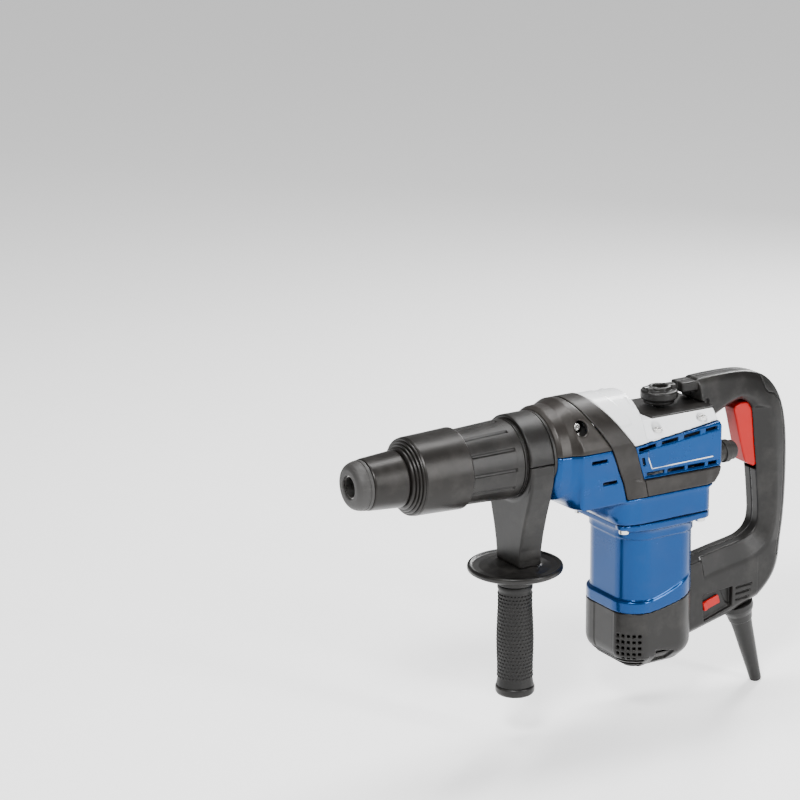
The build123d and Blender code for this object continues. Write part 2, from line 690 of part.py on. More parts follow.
def main():
    save("dust_cap", make_dust_cap())
    save("nose_sleeve", make_nose_sleeve())
    save("tool_holder", make_tool_holder())
    save("locking_rollers", Compound(make_locking_rollers()))
    save("retaining_ring", make_retaining_ring())
    save("chuck_spring", make_chuck_spring())
    save("locking_sleeve", make_locking_sleeve())
    save("neck", make_neck())
    save("spindle_bearing", Compound(make_spindle_bearing()))

    save("clamp_band", make_clamp_band())
    save("clamp_cap", make_clamp_cap())
    save("handle_arm", make_handle_arm())
    save("grip_bolt", make_grip_bolt())
    save("hand_guard", make_hand_guard())
    save("grip_sleeve", make_grip_sleeve())
    save("grip_end_cap", make_grip_end_cap())

    hollow = cavity()
    shell = envelope() - hollow
    save("upper_hood", make_upper_hood(shell))
    save("strap_band", make_strap_band(shell, hollow))
    save("top_cover", make_top_cover(shell))
    save("knob_deck", make_knob_deck(shell))
    save("rear_cover", make_rear_cover(shell))
    save("side_panel_left", make_side_panel(shell, -1))
    save("side_panel_right", make_side_panel(shell, 1))
    save("lower_trim", make_lower_trim(shell))
    save("gear_housing", make_gear_housing(shell))
    save("mode_knob", make_mode_knob())
    save("rear_bumpers", Compound(make_rear_bumpers()))

    save("cylinder", make_cylinder())
    save("beat_piece", make_beat_piece())
    save("striker", make_striker())
    save("piston", make_piston())
    save("wrist_pin", make_wrist_pin())
    save("connecting_rod", make_connecting_rod())
    save("crankshaft", make_crankshaft())
    save("crank_gear", make_crank_gear())
    save("bevel_pinion", make_bevel_pinion())
    save("bevel_ring", make_bevel_ring())
    save("bearing_plate", make_bearing_plate())
    save("shaft_bearings", Compound(make_shaft_bearings()))

    save("gasket", make_gasket())
    save("motor_housing", make_motor_housing())
    save("stator", make_stator())
    save("field_coils", Compound(make_field_coils()))
    save("armature_shaft", make_armature_shaft())
    save("armature_core", make_armature_core())
    save("armature_windings", Compound(make_armature_windings()))
    save("commutator", make_commutator())
    save("cooling_fan", make_cooling_fan())
    save("brush_holders", Compound(make_brush_holders()))
    save("carbon_brushes", Compound(make_carbon_brushes()))
    save("motor_end_cap", make_motor_end_cap())
    save("housing_screws", Compound(make_housing_screws()))

    save("handle_shell_left", make_handle_shell(-1))
    save("handle_shell_right", make_handle_shell(1))
    save("soft_grip", make_soft_grip())
    save("trigger", make_trigger())
    save("switch_module", make_switch_module())
    save("lock_switch", make_lock_switch())
    save("cord_boot", make_cord_boot())
    save("cord_clamp", make_cord_clamp())


main()
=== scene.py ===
# %% [markdown]
# # Rotary hammer
# A rotary hammer is a heavy drill that also beats on its bit. Its working parts, housings, joints and sizes
# come from a packed engineering model, which this lesson loads as a fixed frame. Every visible piece is then
# built around that frame, in metres, with its place in its mesh and its object left at the origin.

# %% Load the frame
import json
import math

import bmesh
import bpy
import numpy as np
from mathutils import Euler, Matrix, Vector


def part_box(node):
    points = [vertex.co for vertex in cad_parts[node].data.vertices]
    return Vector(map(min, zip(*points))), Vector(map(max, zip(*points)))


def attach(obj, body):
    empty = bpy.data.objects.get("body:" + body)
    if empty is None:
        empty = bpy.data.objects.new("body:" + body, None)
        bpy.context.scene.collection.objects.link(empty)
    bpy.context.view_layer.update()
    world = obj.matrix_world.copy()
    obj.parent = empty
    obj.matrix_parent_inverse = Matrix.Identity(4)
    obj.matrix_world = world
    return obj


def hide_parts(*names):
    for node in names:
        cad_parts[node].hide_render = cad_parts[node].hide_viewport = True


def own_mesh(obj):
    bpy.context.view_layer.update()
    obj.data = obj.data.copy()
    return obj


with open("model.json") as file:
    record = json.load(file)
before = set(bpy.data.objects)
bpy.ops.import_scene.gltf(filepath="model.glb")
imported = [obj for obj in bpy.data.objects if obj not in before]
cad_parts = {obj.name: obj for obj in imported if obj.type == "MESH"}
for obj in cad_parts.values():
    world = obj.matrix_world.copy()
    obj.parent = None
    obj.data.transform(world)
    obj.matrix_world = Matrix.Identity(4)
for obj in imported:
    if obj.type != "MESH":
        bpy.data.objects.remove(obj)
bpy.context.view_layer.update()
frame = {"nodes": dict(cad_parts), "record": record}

# %% [markdown]
# ## Sizes from the frame
# A housing has to meet the pieces beside it, so its sizes are read from the boxes of the nodes that it
# touches and only the local styling sizes are typed in. Shapes are worked out in millimetres, which suits a
# hand tool, and scaled to metres when the mesh is made.

# %% Read the main sizes
MM = 0.001


def span(node):
    low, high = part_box(node)
    return [v / MM for v in low], [v / MM for v in high]


armature_low, armature_high = span("armature_core")
MOTOR_X = (armature_low[0] + armature_high[0]) / 2
motor_low, motor_high = span("motor_housing")
end_low, end_high = span("motor_end_cap")
CAP_BOTTOM = end_low[2]
PARTING_Z = span("gasket")[1][2]
MOTOR_TOP = span("gasket")[0][2]
CASE_FRONT, CASE_REAR = span("gasket")[0][0] - 2.0, span("gasket")[1][0] + 2.0
HOUSING_REAR = span("rear_cover")[1][0]
HALF_WIDTH = span("lower_trim")[1][1] - 1.0
hood_low, hood_high = span("upper_hood")
HOUSING_FRONT, BARREL_R = hood_low[0], hood_high[2]
DECK_Z = span("knob_deck")[1][2]
bolt_low, bolt_high = span("grip_bolt")
GRIP_X = (bolt_low[0] + bolt_high[0]) / 2
knob_low, knob_high = span("mode_knob")
KNOB_X = (knob_low[0] + knob_high[0]) / 2
arm_low, arm_high = span("handle_arm")
cap_low, cap_high = span("clamp_cap")
HANDLE_HALF = span("handle_shell_right")[1][1]
print(f"motor axis at x {MOTOR_X:.1f} mm, grip axis at x {GRIP_X:.1f} mm, deck at z {DECK_Z:.1f} mm")

# %% [markdown]
# ## Moulding a housing from distances
# A moulded or cast housing is a few simple volumes that melt into each other with generous fillets. Boolean
# cuts with bevels break easily there. A signed distance does not: each volume is a function that gives the
# distance to its surface, negative inside, and a smooth minimum or maximum of two such functions is a fillet
# of a chosen radius. A grid of samples finds the surface, and each vertex is then pulled onto it exactly.

# %% Distance helpers
def smooth_max(a, b, radius):
    """Intersection whose edge is rounded over about `radius`."""
    h = np.clip(0.5 + 0.5 * (a - b) / radius, 0, 1)
    return b + (a - b) * h + radius * h * (1 - h)


def smooth_min(a, b, radius):
    """Union with a fillet of about `radius` in its corner."""
    return -smooth_max(-a, -b, radius)


def outline(points):
    """Signed distance to a closed polygon, as a function of two coordinates."""
    corners = [tuple(p) for p in points]

    def distance(u, v):
        u, v = np.broadcast_arrays(u, v)
        best = np.full(u.shape, 1e9)
        inside = np.zeros(u.shape, bool)
        for (ax, ay), (bx, by) in zip(corners, corners[1:] + corners[:1]):
            ex, ey = bx - ax, by - ay
            wx, wy = u - ax, v - ay
            t = np.clip((wx * ex + wy * ey) / (ex * ex + ey * ey), 0, 1)
            best = np.minimum(best, (wx - ex * t) ** 2 + (wy - ey * t) ** 2)
            if by != ay:
                inside ^= ((ay <= v) != (by <= v)) & (wx < wy * ex / ey)
        return np.where(inside, -1, 1) * np.sqrt(best)
    return distance


def flowing(points, steps=6):
    """Closed Catmull-Rom curve through the points, as more points."""
    made = []
    count = len(points)
    ring = [np.array(p, float) for p in points]
    for i in range(count):
        a, b, c, d = (ring[(i + k) % count] for k in (-1, 0, 1, 2))
        for s in range(steps):
            t = s / steps
            made.append(0.5 * (2 * b + (c - a) * t + (2 * a - 5 * b + 4 * c - d) * t * t
                               + (3 * b - a - 3 * c + d) * t ** 3))
    return made


def rounded_box(x, y, z, centre, half, radius):
    q = [np.abs(v - c) - h + radius for v, c, h in zip((x, y, z), centre, half)]
    outer = np.sqrt(sum(np.maximum(v, 0) ** 2 for v in q))
    inner = np.minimum(np.maximum(np.maximum(q[0], q[1]), q[2]), 0)
    return outer + inner - radius


def post(x, y, z, centre, radius, low, high, edge):
    """Upright round post with a rounded rim."""
    around = np.sqrt((x - centre[0]) ** 2 + (y - centre[1]) ** 2) - radius
    return smooth_max(around, np.abs(z - (low + high) / 2) - (high - low) / 2, edge)


def slab(value, low, high):
    return np.abs(value - (low + high) / 2) - (high - low) / 2


# %% Grid to mesh
def mould(name, shape, low, high, cell=1.1):
    """Closed mesh of the surface where `shape` is zero, in metres, with its vertices pulled onto it."""
    axes = [np.arange(a - 2 * cell, b + 3 * cell, cell) for a, b in zip(low, high)]
    grid = np.ix_(*axes)
    values = np.broadcast_to(shape(*grid), [len(a) for a in axes])
    inside = values < 0
    size = [n - 1 for n in values.shape]
    count = np.zeros(size, np.int8)
    offsets = [(i, j, k) for i in (0, 1) for j in (0, 1) for k in (0, 1)]

    def corner(array, o):
        return array[o[0]:o[0] + size[0], o[1]:o[1] + size[1], o[2]:o[2] + size[2]]

    for o in offsets:
        count += corner(inside, o)
    active = (count > 0) & (count < 8)
    where = np.nonzero(active)
    index = np.full(size, -1, np.int64)
    index[where] = np.arange(len(where[0]))
    total = np.zeros((len(where[0]), 3))
    crossings = np.zeros(len(where[0]))
    for o in offsets:
        for axis in range(3):
            if o[axis]:
                continue
            p = list(o)
            p[axis] = 1
            a, b = corner(values, o)[where], corner(values, p)[where]
            cut = (a < 0) != (b < 0)
            t = np.where(cut, a / np.where(cut, a - b, 1), 0)
            point = np.array(o, float) * np.ones((len(t), 1))
            point[:, axis] = t
            total += point * cut[:, None]
            crossings += cut
    points = np.stack(where, 1) + total / crossings[:, None]
    points = np.array([a[0] for a in axes]) + points * cell
    faces = []
    for axis in range(3):
        u, v = (axis + 1) % 3, (axis + 2) % 3
        near = [slice(1, size[k]) for k in range(3)]
        near[axis] = slice(0, size[axis])
        far = list(near)
        far[axis] = slice(1, size[axis] + 1)
        a, b = inside[tuple(near)], inside[tuple(far)]
        for flip in (False, True):
            cells = np.stack(np.nonzero((a != b) & (a != flip)), 1) + [int(k != axis) for k in range(3)]
            quad = []
            for du, dv in ((1, 1), (0, 1), (0, 0), (1, 0)):
                c = cells.copy()
                c[:, u] -= du
                c[:, v] -= dv
                quad.append(index[c[:, 0], c[:, 1], c[:, 2]])
            quad = np.stack(quad, 1)
            faces.append(quad[:, ::-1] if flip else quad)
    step = 0.05
    for _ in range(3):
        here = shape(*points.T)
        slope = np.stack([shape(*(points + step * np.eye(3)[k]).T) - here for k in range(3)], 1) / step
        length = np.maximum((slope ** 2).sum(1), 0.2)
        points -= slope * np.clip(here / length, -0.6 * cell, 0.6 * cell)[:, None]
    return new_piece(name, points * MM, np.concatenate(faces))


def new_piece(name, points, faces, smooth=True):
    mesh = bpy.data.meshes.new(name)
    mesh.from_pydata(np.asarray(points).tolist(), [], np.asarray(faces).tolist() if len(faces) else [])
    mesh.validate()
    mesh.update()
    if smooth:
        mesh.shade_smooth()
    piece = bpy.data.objects.new(name, mesh)
    bpy.context.scene.collection.objects.link(piece)
    return piece

# %% [markdown]
# ## Finishes
# Nothing on the tool is one flat colour. Satin mouldings carry the fine grain of a spark-eroded mould, broad
# patches where hands have polished them and a trace of dust. Turned steel keeps rings from the lathe. Each
# finish is a small formula over the piece's own coordinates, so a piece keeps its pattern when it moves.

# %% Shader formulas
class Value:
    """A number inside a material, so that shader maths reads like ordinary maths."""
    def __init__(self, tree, socket):
        self.tree, self.socket = tree, socket

    def math(self, operation, *others, clamp=False):
        node = self.tree.nodes.new("ShaderNodeMath")
        node.operation, node.use_clamp = operation, clamp
        for i, other in enumerate((self,) + others):
            if isinstance(other, Value):
                self.tree.links.new(other.socket, node.inputs[i])
            else:
                node.inputs[i].default_value = other
        return Value(self.tree, node.outputs[0])

    def constant(self, number):
        node = self.tree.nodes.new("ShaderNodeValue")
        node.outputs[0].default_value = number
        return Value(self.tree, node.outputs[0])

    def __add__(self, other): return self.math("ADD", other)
    def __radd__(self, other): return self.math("ADD", other)
    def __sub__(self, other): return self.math("SUBTRACT", other)
    def __rsub__(self, other): return self.constant(other).math("SUBTRACT", self)
    def __mul__(self, other): return self.math("MULTIPLY", other)
    def __rmul__(self, other): return self.math("MULTIPLY", other)
    def __truediv__(self, other): return self.math("DIVIDE", other)
    def __pow__(self, other): return self.math("POWER", other)
    def clamped(self): return self.math("ADD", 0.0, clamp=True)
    def above(self, edge, soft): return ((self - edge) / soft + 0.5).clamped()


class Finish:
    """One procedural material, built on the piece's own coordinates."""
    def __init__(self, name):
        self.material = bpy.data.materials.new(name)
        self.material.use_nodes = True
        self.tree = self.material.node_tree
        self.shader = self.tree.nodes["Principled BSDF"]
        self.place = self.tree.nodes.new("ShaderNodeTexCoord").outputs["Object"]

    def node(self, kind, settings=None, inputs=None):
        node = self.tree.nodes.new(kind)
        for key, value in (settings or {}).items():
            setattr(node, key, value)
        for key, value in (inputs or {}).items():
            if isinstance(value, Value):
                value = value.socket
            if isinstance(value, bpy.types.NodeSocket):
                self.tree.links.new(value, node.inputs[key])
            else:
                node.inputs[key].default_value = value
        return node

    def stretched(self, x, y, z):
        return self.node("ShaderNodeMapping", inputs={"Vector": self.place, "Scale": (x, y, z)}).outputs[0]

    def noise(self, scale, detail=3.0, rough=0.55, where=None):
        made = self.node("ShaderNodeTexNoise", inputs={
            "Vector": where or self.place, "Scale": scale, "Detail": detail, "Roughness": rough})
        return Value(self.tree, made.outputs[0])

    def cells(self, scale, where=None):
        made = self.node("ShaderNodeTexVoronoi", inputs={"Vector": where or self.place, "Scale": scale})
        return Value(self.tree, made.outputs["Distance"])

    def axes(self):
        split = self.node("ShaderNodeSeparateXYZ", inputs={0: self.place})
        return [Value(self.tree, socket) for socket in split.outputs]

    def blend(self, factor, first, second):
        made = self.node("ShaderNodeMix", {"data_type": "RGBA"}, {0: factor})
        for slot, colour in ((6, first), (7, second)):
            if isinstance(colour, bpy.types.NodeSocket):
                self.tree.links.new(colour, made.inputs[slot])
            else:
                made.inputs[slot].default_value = (*colour, 1)
        return made.outputs[2]

    def done(self, colour, rough, height=None, depth=0.0001, strength=0.3, **constants):
        self.tree.links.new(colour, self.shader.inputs["Base Color"])
        self.tree.links.new(rough.clamped().socket, self.shader.inputs["Roughness"])
        if height is not None:
            bump = self.node("ShaderNodeBump", inputs={"Strength": strength, "Distance": depth, "Height": height})
            self.tree.links.new(bump.outputs[0], self.shader.inputs["Normal"])
        for key, value in constants.items():
            self.shader.inputs[key.replace("_", " ")].default_value = value
        return self.material


def tint(colour, factor):
    return tuple(min(1.0, c * factor) for c in colour)


def moulded(name, colour, rough, grain=0.0004, bump=0.35, coat=0.0, metallic=0.0, dust=0.03, shine=0.26):
    """Satin or glossy moulding: eroded grain, hand polish, faint dust on the darkest patches."""
    f = Finish(name)
    broad, patch = f.noise(9.0, 4.0), f.noise(45.0, 5.0, 0.6)
    pits = f.cells(1 / grain) * 0.6 + f.noise(0.6 / grain, 2.0) * 0.6
    base = f.blend((broad - 0.25) * 1.8, tint(colour, 0.86), tint(colour, 1.12))
    base = f.blend(patch.above(0.60, 0.25) * dust, base, (0.42, 0.40, 0.37))
    roughness = (broad - 0.5) * 0.16 + (patch - 0.5) * 0.14 + rough
    return f.done(base, roughness, pits, grain * 0.25, bump, Metallic=metallic, Coat_Weight=coat,
                  Coat_Roughness=0.12, Specular_IOR_Level=shine)


def rubbery(name, colour, rough=0.72, dots=0.0006):
    """Matt rubber: open pores, a grey bloom and scuffs."""
    f = Finish(name)
    bloom, scuff = f.noise(22.0, 6.0, 0.65), f.noise(1.0, 4.0, 0.6, f.stretched(60, 60, 320))
    pores = f.cells(1 / dots) + f.noise(2400.0, 2.0) * 0.4
    base = f.blend(bloom, tint(colour, 0.7), tint(colour, 1.35))
    base = f.blend(scuff.above(0.64, 0.12) * 0.3, base, tint(colour, 2.6))
    return f.done(base, (bloom - 0.5) * 0.25 + rough, pores, dots * 0.3, 0.45, Specular_IOR_Level=0.32)


def turned_metal(name, colour, rough, lines=(260, 9, 9), oil=0.0):
    """Machined metal: tool rings across the axis, fine pits, darker handled or oily patches."""
    f = Finish(name)
    rings = f.noise(1.0, 5.0, 0.65, f.stretched(*[v * 8 for v in lines]))
    patch, pits = f.noise(70.0, 5.0, 0.6), f.cells(2600.0)
    base = f.blend(rings, tint(colour, 0.78), tint(colour, 1.15))
    base = f.blend(patch.above(0.55, 0.3) * (0.35 + oil), base, tint(colour, 0.45))
    roughness = (rings - 0.5) * 0.22 + (patch - 0.5) * 0.2 + rough
    return f.done(base, roughness, rings + pits * 0.2, 0.00004, 0.5, Metallic=1.0)


def banded(name, first, second, pitch, axis, rough, metallic):
    """Stacked sheets or wound wire: fine bands along one axis with uneven colour."""
    f = Finish(name)
    along = f.axes()[axis]
    wave = (along * (2 * math.pi / pitch) + f.noise(180.0, 3.0) * 1.6).math("SINE") * 0.5 + 0.5
    patch = f.noise(110.0, 4.0)
    base = f.blend(wave, first, second)
    base = f.blend(patch.above(0.58, 0.3) * 0.4, base, tint(first, 0.5))
    return f.done(base, (patch - 0.5) * 0.2 + rough, wave, pitch * 0.3, 0.6, Metallic=metallic)


# %% The finishes by material slot
finishes = {
    "rubber_black": rubbery("rubber_black", (0.030, 0.029, 0.028), 0.50),
    "chuck_plastic": moulded("chuck_plastic", (0.013, 0.0118, 0.0108), 0.33, 0.0005, 0.2, metallic=0.3),
    "neck_plastic": moulded("neck_plastic", (0.0085, 0.0078, 0.0072), 0.36, 0.0005, 0.25),
    "handle_plastic": moulded("handle_plastic", (0.0065, 0.0060, 0.0056), 0.36, 0.0006, 0.3),
    "hood_plastic": moulded("hood_plastic", (0.018, 0.0156, 0.0138), 0.33, 0.0004, 0.2, metallic=0.25),
    "strap_plastic": moulded("strap_plastic", (0.014, 0.0122, 0.011), 0.35, 0.0004, 0.2, metallic=0.2),
    "blue_shell": moulded("blue_shell", (0.0001, 0.038, 0.150), 0.26, 0.0005, 0.10, coat=0.12,
                           metallic=0.65, dust=0.01),
    "white_cover": moulded("white_cover", (0.74, 0.75, 0.76), 0.26, 0.0005, 0.10, coat=0.35, dust=0.04),
    "red_plastic": moulded("red_plastic", (0.34, 0.0012, 0.0008), 0.34, 0.0004, 0.15, dust=0.01,
                            shine=0.25),
    "soft_rubber": rubbery("soft_rubber", (0.009, 0.0084, 0.0078), 0.46, 0.0005),
    "grip_rubber": rubbery("grip_rubber", (0.006, 0.0056, 0.0052), 0.50, 0.0005),
    "boot_rubber": rubbery("boot_rubber", (0.007, 0.0066, 0.0062), 0.42, 0.0005),
    "gasket_black": rubbery("gasket_black", (0.008, 0.008, 0.008), 0.80, 0.0004),
    "fan_plastic": moulded("fan_plastic", (0.016, 0.016, 0.018), 0.50, 0.0007, 0.4),
    "clamp_nylon": moulded("clamp_nylon", (0.020, 0.019, 0.018), 0.48, 0.0006, 0.3),
    "carbon": moulded("carbon", (0.010, 0.010, 0.011), 0.58, 0.0003, 0.5, dust=0.02),
    "tool_steel": turned_metal("tool_steel", (0.40, 0.39, 0.38), 0.30, oil=0.1),
    "spring_steel": turned_metal("spring_steel", (0.26, 0.26, 0.28), 0.34, (90, 90, 90), 0.3),
    "bearing_steel": turned_metal("bearing_steel", (0.62, 0.62, 0.63), 0.16, (120, 120, 120)),
    "screw_steel": turned_metal("screw_steel", (0.72, 0.71, 0.69), 0.22, (60, 60, 200)),
    "gear_steel": turned_metal("gear_steel", (0.36, 0.35, 0.34), 0.34, (40, 40, 240), 0.35),
    "plate_alloy": turned_metal("plate_alloy", (0.56, 0.56, 0.57), 0.44, (30, 30, 30), 0.1),
    "brush_brass": turned_metal("brush_brass", (0.66, 0.46, 0.17), 0.32, (60, 60, 60), 0.1),
    "lamination_steel": banded("lamination_steel", (0.13, 0.13, 0.14), (0.26, 0.26, 0.27), 0.0007, 2, 0.46, 0.8),
    "winding_copper": banded("winding_copper", (0.30, 0.09, 0.03), (0.62, 0.25, 0.09), 0.0011, 2, 0.33, 0.7),
    "commutator_copper": banded("commutator_copper", (0.50, 0.22, 0.10), (0.72, 0.38, 0.2), 0.0016, 2, 0.30, 1.0),
}
print(len(finishes), "finishes, from", len({m.node_tree for m in finishes.values()}), "node trees")

# %% [markdown]
# ## Turned pieces
# The chuck, the neck, the guard and the grip are round, made on a lathe or in round tools. One profile swept
# round an axis gives them. Real edges are never sharp, so every corner of a profile is rounded first, with a
# support ring beside each rounding so that the flats keep their shading flat.

# %% Lathe helper
def softened(profile, size=0.35):
    """Closed profile with its corners rounded, leaving corners on the axis alone."""
    made = []
    points = [np.array(p, float) for p in profile]
    for before, here, after in zip(points[-1:] + points[:-1], points, points[1:] + points[:1]):
        if here[1] < 0.01:
            made.append(here)
            continue
        back, ahead = before - here, after - here
        length_back, length_ahead = np.linalg.norm(back), np.linalg.norm(ahead)
        d = min(size, 0.4 * length_back, 0.4 * length_ahead)
        start, end = here + back / length_back * d, here + ahead / length_ahead * d
        if length_back > 3 * d:
            made.append(start + back / length_back * 0.3 * d)
        for t in (0, 0.25, 0.5, 0.75, 1):
            made.append((1 - t) ** 2 * start + 2 * t * (1 - t) * here + t * t * end)
        if length_ahead > 3 * d:
            made.append(end + ahead / length_ahead * 0.3 * d)
    return made


def turned(name, profile, axis="X", centre=(0, 0), size=0.35, angles=None, carve=None):
    """Closed (axial, radius) profile in mm swept round the X axis, or a vertical axis at `centre`."""
    rings = softened(profile, size)
    segments = 168
    turns = np.linspace(0, 2 * math.pi, segments, endpoint=False) if angles is None else np.array(angles)
    along = np.array([p[0] for p in rings])[:, None] * np.ones(len(turns))
    radius = np.array([p[1] for p in rings])[:, None] * np.ones(len(turns))
    if carve:
        radius = carve(along, turns[None, :], radius)
    u, v = radius * np.cos(turns), radius * np.sin(turns)
    if axis == "X":
        points = np.stack([along, u, v], -1)
    else:
        points = np.stack([centre[0] + u, centre[1] + v, along], -1)
    n, m = along.shape
    i, j = np.meshgrid(np.arange(n), np.arange(m), indexing="ij")
    i2, j2 = (i + 1) % n, (j + 1) % m
    faces = np.stack([i * m + j, i2 * m + j, i2 * m + j2, i * m + j2], -1).reshape(-1, 4)
    piece = new_piece(name, points.reshape(-1, 3) * MM, faces)
    tidy = bmesh.new()
    tidy.from_mesh(piece.data)
    bmesh.ops.remove_doubles(tidy, verts=tidy.verts, dist=2e-6)
    bmesh.ops.recalc_face_normals(tidy, faces=tidy.faces)
    if tidy.calc_volume(signed=True) < 0:
        bmesh.ops.reverse_faces(tidy, faces=tidy.faces)
    tidy.to_mesh(piece.data)
    tidy.free()
    piece.data.shade_smooth()
    return piece


visible = {}


def show(piece, body, finish, *nodes):
    """Registers a piece: the body it rides on and the nodes it stands for."""
    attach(piece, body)
    if nodes:
        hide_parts(*nodes)
    visible[piece.name] = (piece, finish)
    print(f"{piece.name}: {len(piece.data.polygons)} faces on {body}")


# %% [markdown]
# ## Chuck
# A rubber cap keeps drilling dust out of the chuck, and the plastic nose cone behind it fills the gap to the
# sliding sleeve. The sleeve has a stepped front so that a gloved hand can pull it back against the spring.

# %% Dust cap, nose cone and locking sleeve
holder_r = 16.0
cap_profile = [(-2, 10.4), (-2, 15.2), (-1.2, 17.6), (1.0, 19.7), (4.0, 21.0), (7.4, 21.7), (7.8, 21.2),
               (8.4, 21.2), (8.8, 21.9), (11.6, 22.1),
               (11.6, holder_r), (0, holder_r), (0, 10.4)]
show(turned("dust_cap_skin", cap_profile, size=0.8), "spindle", "rubber_black", "dust_cap")
nose_profile = [(11.95, holder_r), (11.95, 22.0), (13.2, 22.7), (20, 23.2), (36, 24.4), (43.4, 25.0),
                (45, 24.0), (45, holder_r)]
show(turned("nose_cone", nose_profile, size=0.7), "spindle", "chuck_plastic", "nose_sleeve")

sleeve_profile = [(46, holder_r + 0.05), (46, 25.3)]
for step in range(4):
    x, r = 46.6 + 2.1 * step, 26.6 + 2.3 * step
    sleeve_profile += [(x, r), (x + 1.2, r + 0.6), (x + 1.2, r - 0.6), (x + 2.0, r - 0.4)]
sleeve_profile += [(55.0, 33.6), (56.4, 34.5), (70, 34.9), (98.6, 36.0), (100.8, 36.1), (102, 34.9),
                   (102, 33.8), (78, 33.8), (78, 30.5), (60, 30.5), (60, holder_r + 0.05)]
show(turned("sliding_sleeve", sleeve_profile, size=0.4), "sleeve", "chuck_plastic", "locking_sleeve")

# %% [markdown]
# ## Neck
# The neck is the fixed collar that the side handle clamps round. Its grip slots are shallow pockets in the
# mould. The lathe's rings get extra columns at each slot wall, and the points between two walls are pressed
# inwards, so that the pockets have upright walls and stay part of one closed mesh.

# %% Slotted neck
SLOTS = 12
half_slot = 1.5 / 33.0
columns = []
for i in range(SLOTS):
    middle = math.radians(360 / SLOTS * i)
    columns += [middle + s * half_slot * k for s, k in ((-1, 1.16), (-1, 1), (0, 0), (1, 1), (1, 1.16))]
    columns += list(np.linspace(middle + 1.4 * half_slot, middle + 2 * math.pi / SLOTS - 1.4 * half_slot, 11))
neck_profile = [(90, 29), (90, 32.4), (90.8, 33), (102.6, 33.1), (103, 33.1), (104, 33.2), (125, 34.1),
                (145, 35.0), (146, 35.0), (146.4, 35.1), (153, 35.3), (153, 34.2), (154.2, 34.2), (154.2, 35.4),
                (155.2, 35.4), (155.2, 34.3), (156.3, 34.3), (156.3, 35.4), (157.1, 35.4), (157.1, 33),
                (182, 33), (182, 38.2), (185, 38.2), (185, 27), (110, 27), (110, 29)]


def press_slots(along, turns, radius):
    pitch = 2 * math.pi / SLOTS
    off = np.abs((turns + pitch / 2) % pitch - pitch / 2)
    pocket = (off < 1.05 * half_slot) & (along > 102.9) & (along < 146.1) & (radius > 30)
    return np.where(pocket, radius - 1.9, radius)


neck = turned("slotted_neck", neck_profile, size=0.25, angles=columns, carve=press_slots)
show(neck, "housing", "neck_plastic", "neck")

# %% [markdown]
# ## Side handle
# The arm is one moulding that hugs the lower half of the neck and narrows down to the grip; the upper half of
# the ring is a separate cap. Both are moulded from distances, so the ring melts into the arm.

# %% Handle arm, ring cap, guard and grip
arm_right = [(40.2, 4.0), (40.1, -8.0), (38.4, -20), (34.5, -33.0), (28.6, -50.0), (23.4, -68.0), (20.4, -82.0),
             (19.2, -92.0), (19.0, -98.1)]
arm_outline = outline(arm_right + [(-y, z) for y, z in reversed(arm_right)])
RING_LOW, RING_HIGH = cap_low[0], cap_high[0]


def clamp_ring(x, y, z):
    radial = np.hypot(y, z)
    outer = smooth_max(radial - cap_high[2], slab(x, RING_LOW, RING_HIGH), 1.6)
    return np.maximum(outer, 34.8 - radial)


def arm_shape(x, y, z):
    plate = smooth_max(arm_outline(y, z), slab(x, arm_low[0] + 0.6, arm_high[0] - 0.6), 2.2)
    whole = smooth_min(plate, clamp_ring(x, y, z), 1.5)
    whole = np.maximum(whole, 34.8 - np.hypot(y, z))
    return np.maximum(np.maximum(whole, z + 0.25), 4.1 - np.hypot(x - GRIP_X, y))


def cap_shape(x, y, z):
    return smooth_max(clamp_ring(x, y, z), 0.25 - z, 0.5)


show(mould("side_arm", arm_shape, (156, -42, -99), (183, 42, 1), 0.95), "side_handle", "handle_plastic", "handle_arm")
show(mould("ring_cap", cap_shape, (156, -40, -1), (183, 40, 40), 0.95), "side_handle", "handle_plastic", "clamp_cap")

guard_profile = [(-98.25, 4.0), (-98.25, 20), (-100.0, 24), (-101.4, 32), (-100.6, 38.2), (-99.2, 40.2),
                 (-99.5, 42.2), (-101.4, 43.0), (-104.0, 42.6), (-105.6, 40), (-106.6, 30), (-107.4, 19),
                 (-110, 16.5), (-117.6, 16.2), (-117.7, 11), (-213.5, 11), (-213.5, 6.6), (-200, 6.6), (-200, 4.0)]
guard = turned("guard_disc", guard_profile, "Z", (GRIP_X, 0), 0.8)
show(guard, "grip", "handle_plastic", "hand_guard")
sleeve_curve = [(-117.9, 15.2), (-119.4, 15.9), (-121.4, 15.9), (-123.4, 15.1), (-130, 14.6), (-140, 14.8),
                (-150, 15.3), (-162, 15.8), (-172, 16.0), (-182, 15.8), (-192, 15.4), (-200, 15.3), (-206, 15.6),
                (-210.5, 16.4), (-213.4, 16.9)]
grip = turned("soft_sleeve", [(-117.9, 11.0)] + sleeve_curve + [(-213.4, 11.0)], "Z", (GRIP_X, 0), 0.7)
show(grip, "grip", "grip_rubber", "grip_sleeve")
foot_profile = [(-213.6, 0), (-213.6, 16.9), (-215, 17.8), (-219.4, 17.8), (-221.2, 16.9), (-222, 15.4), (-222, 0)]
show(turned("grip_foot", foot_profile, "Z", (GRIP_X, 0), 0.8), "grip", "handle_plastic", "grip_end_cap")

# %% [markdown]
# ## Upper housing
# The gearbox casting is a round drum in front that runs into a straight-sided case, with a keel sloping down
# to the flange of the motor. That one body is written once as a distance. The hood, the strap, the white
# cover, the side panels and the lower trim are then cut out of it with side outlines, each a little smaller
# than its opening, which leaves the thin dark seams between real mouldings.

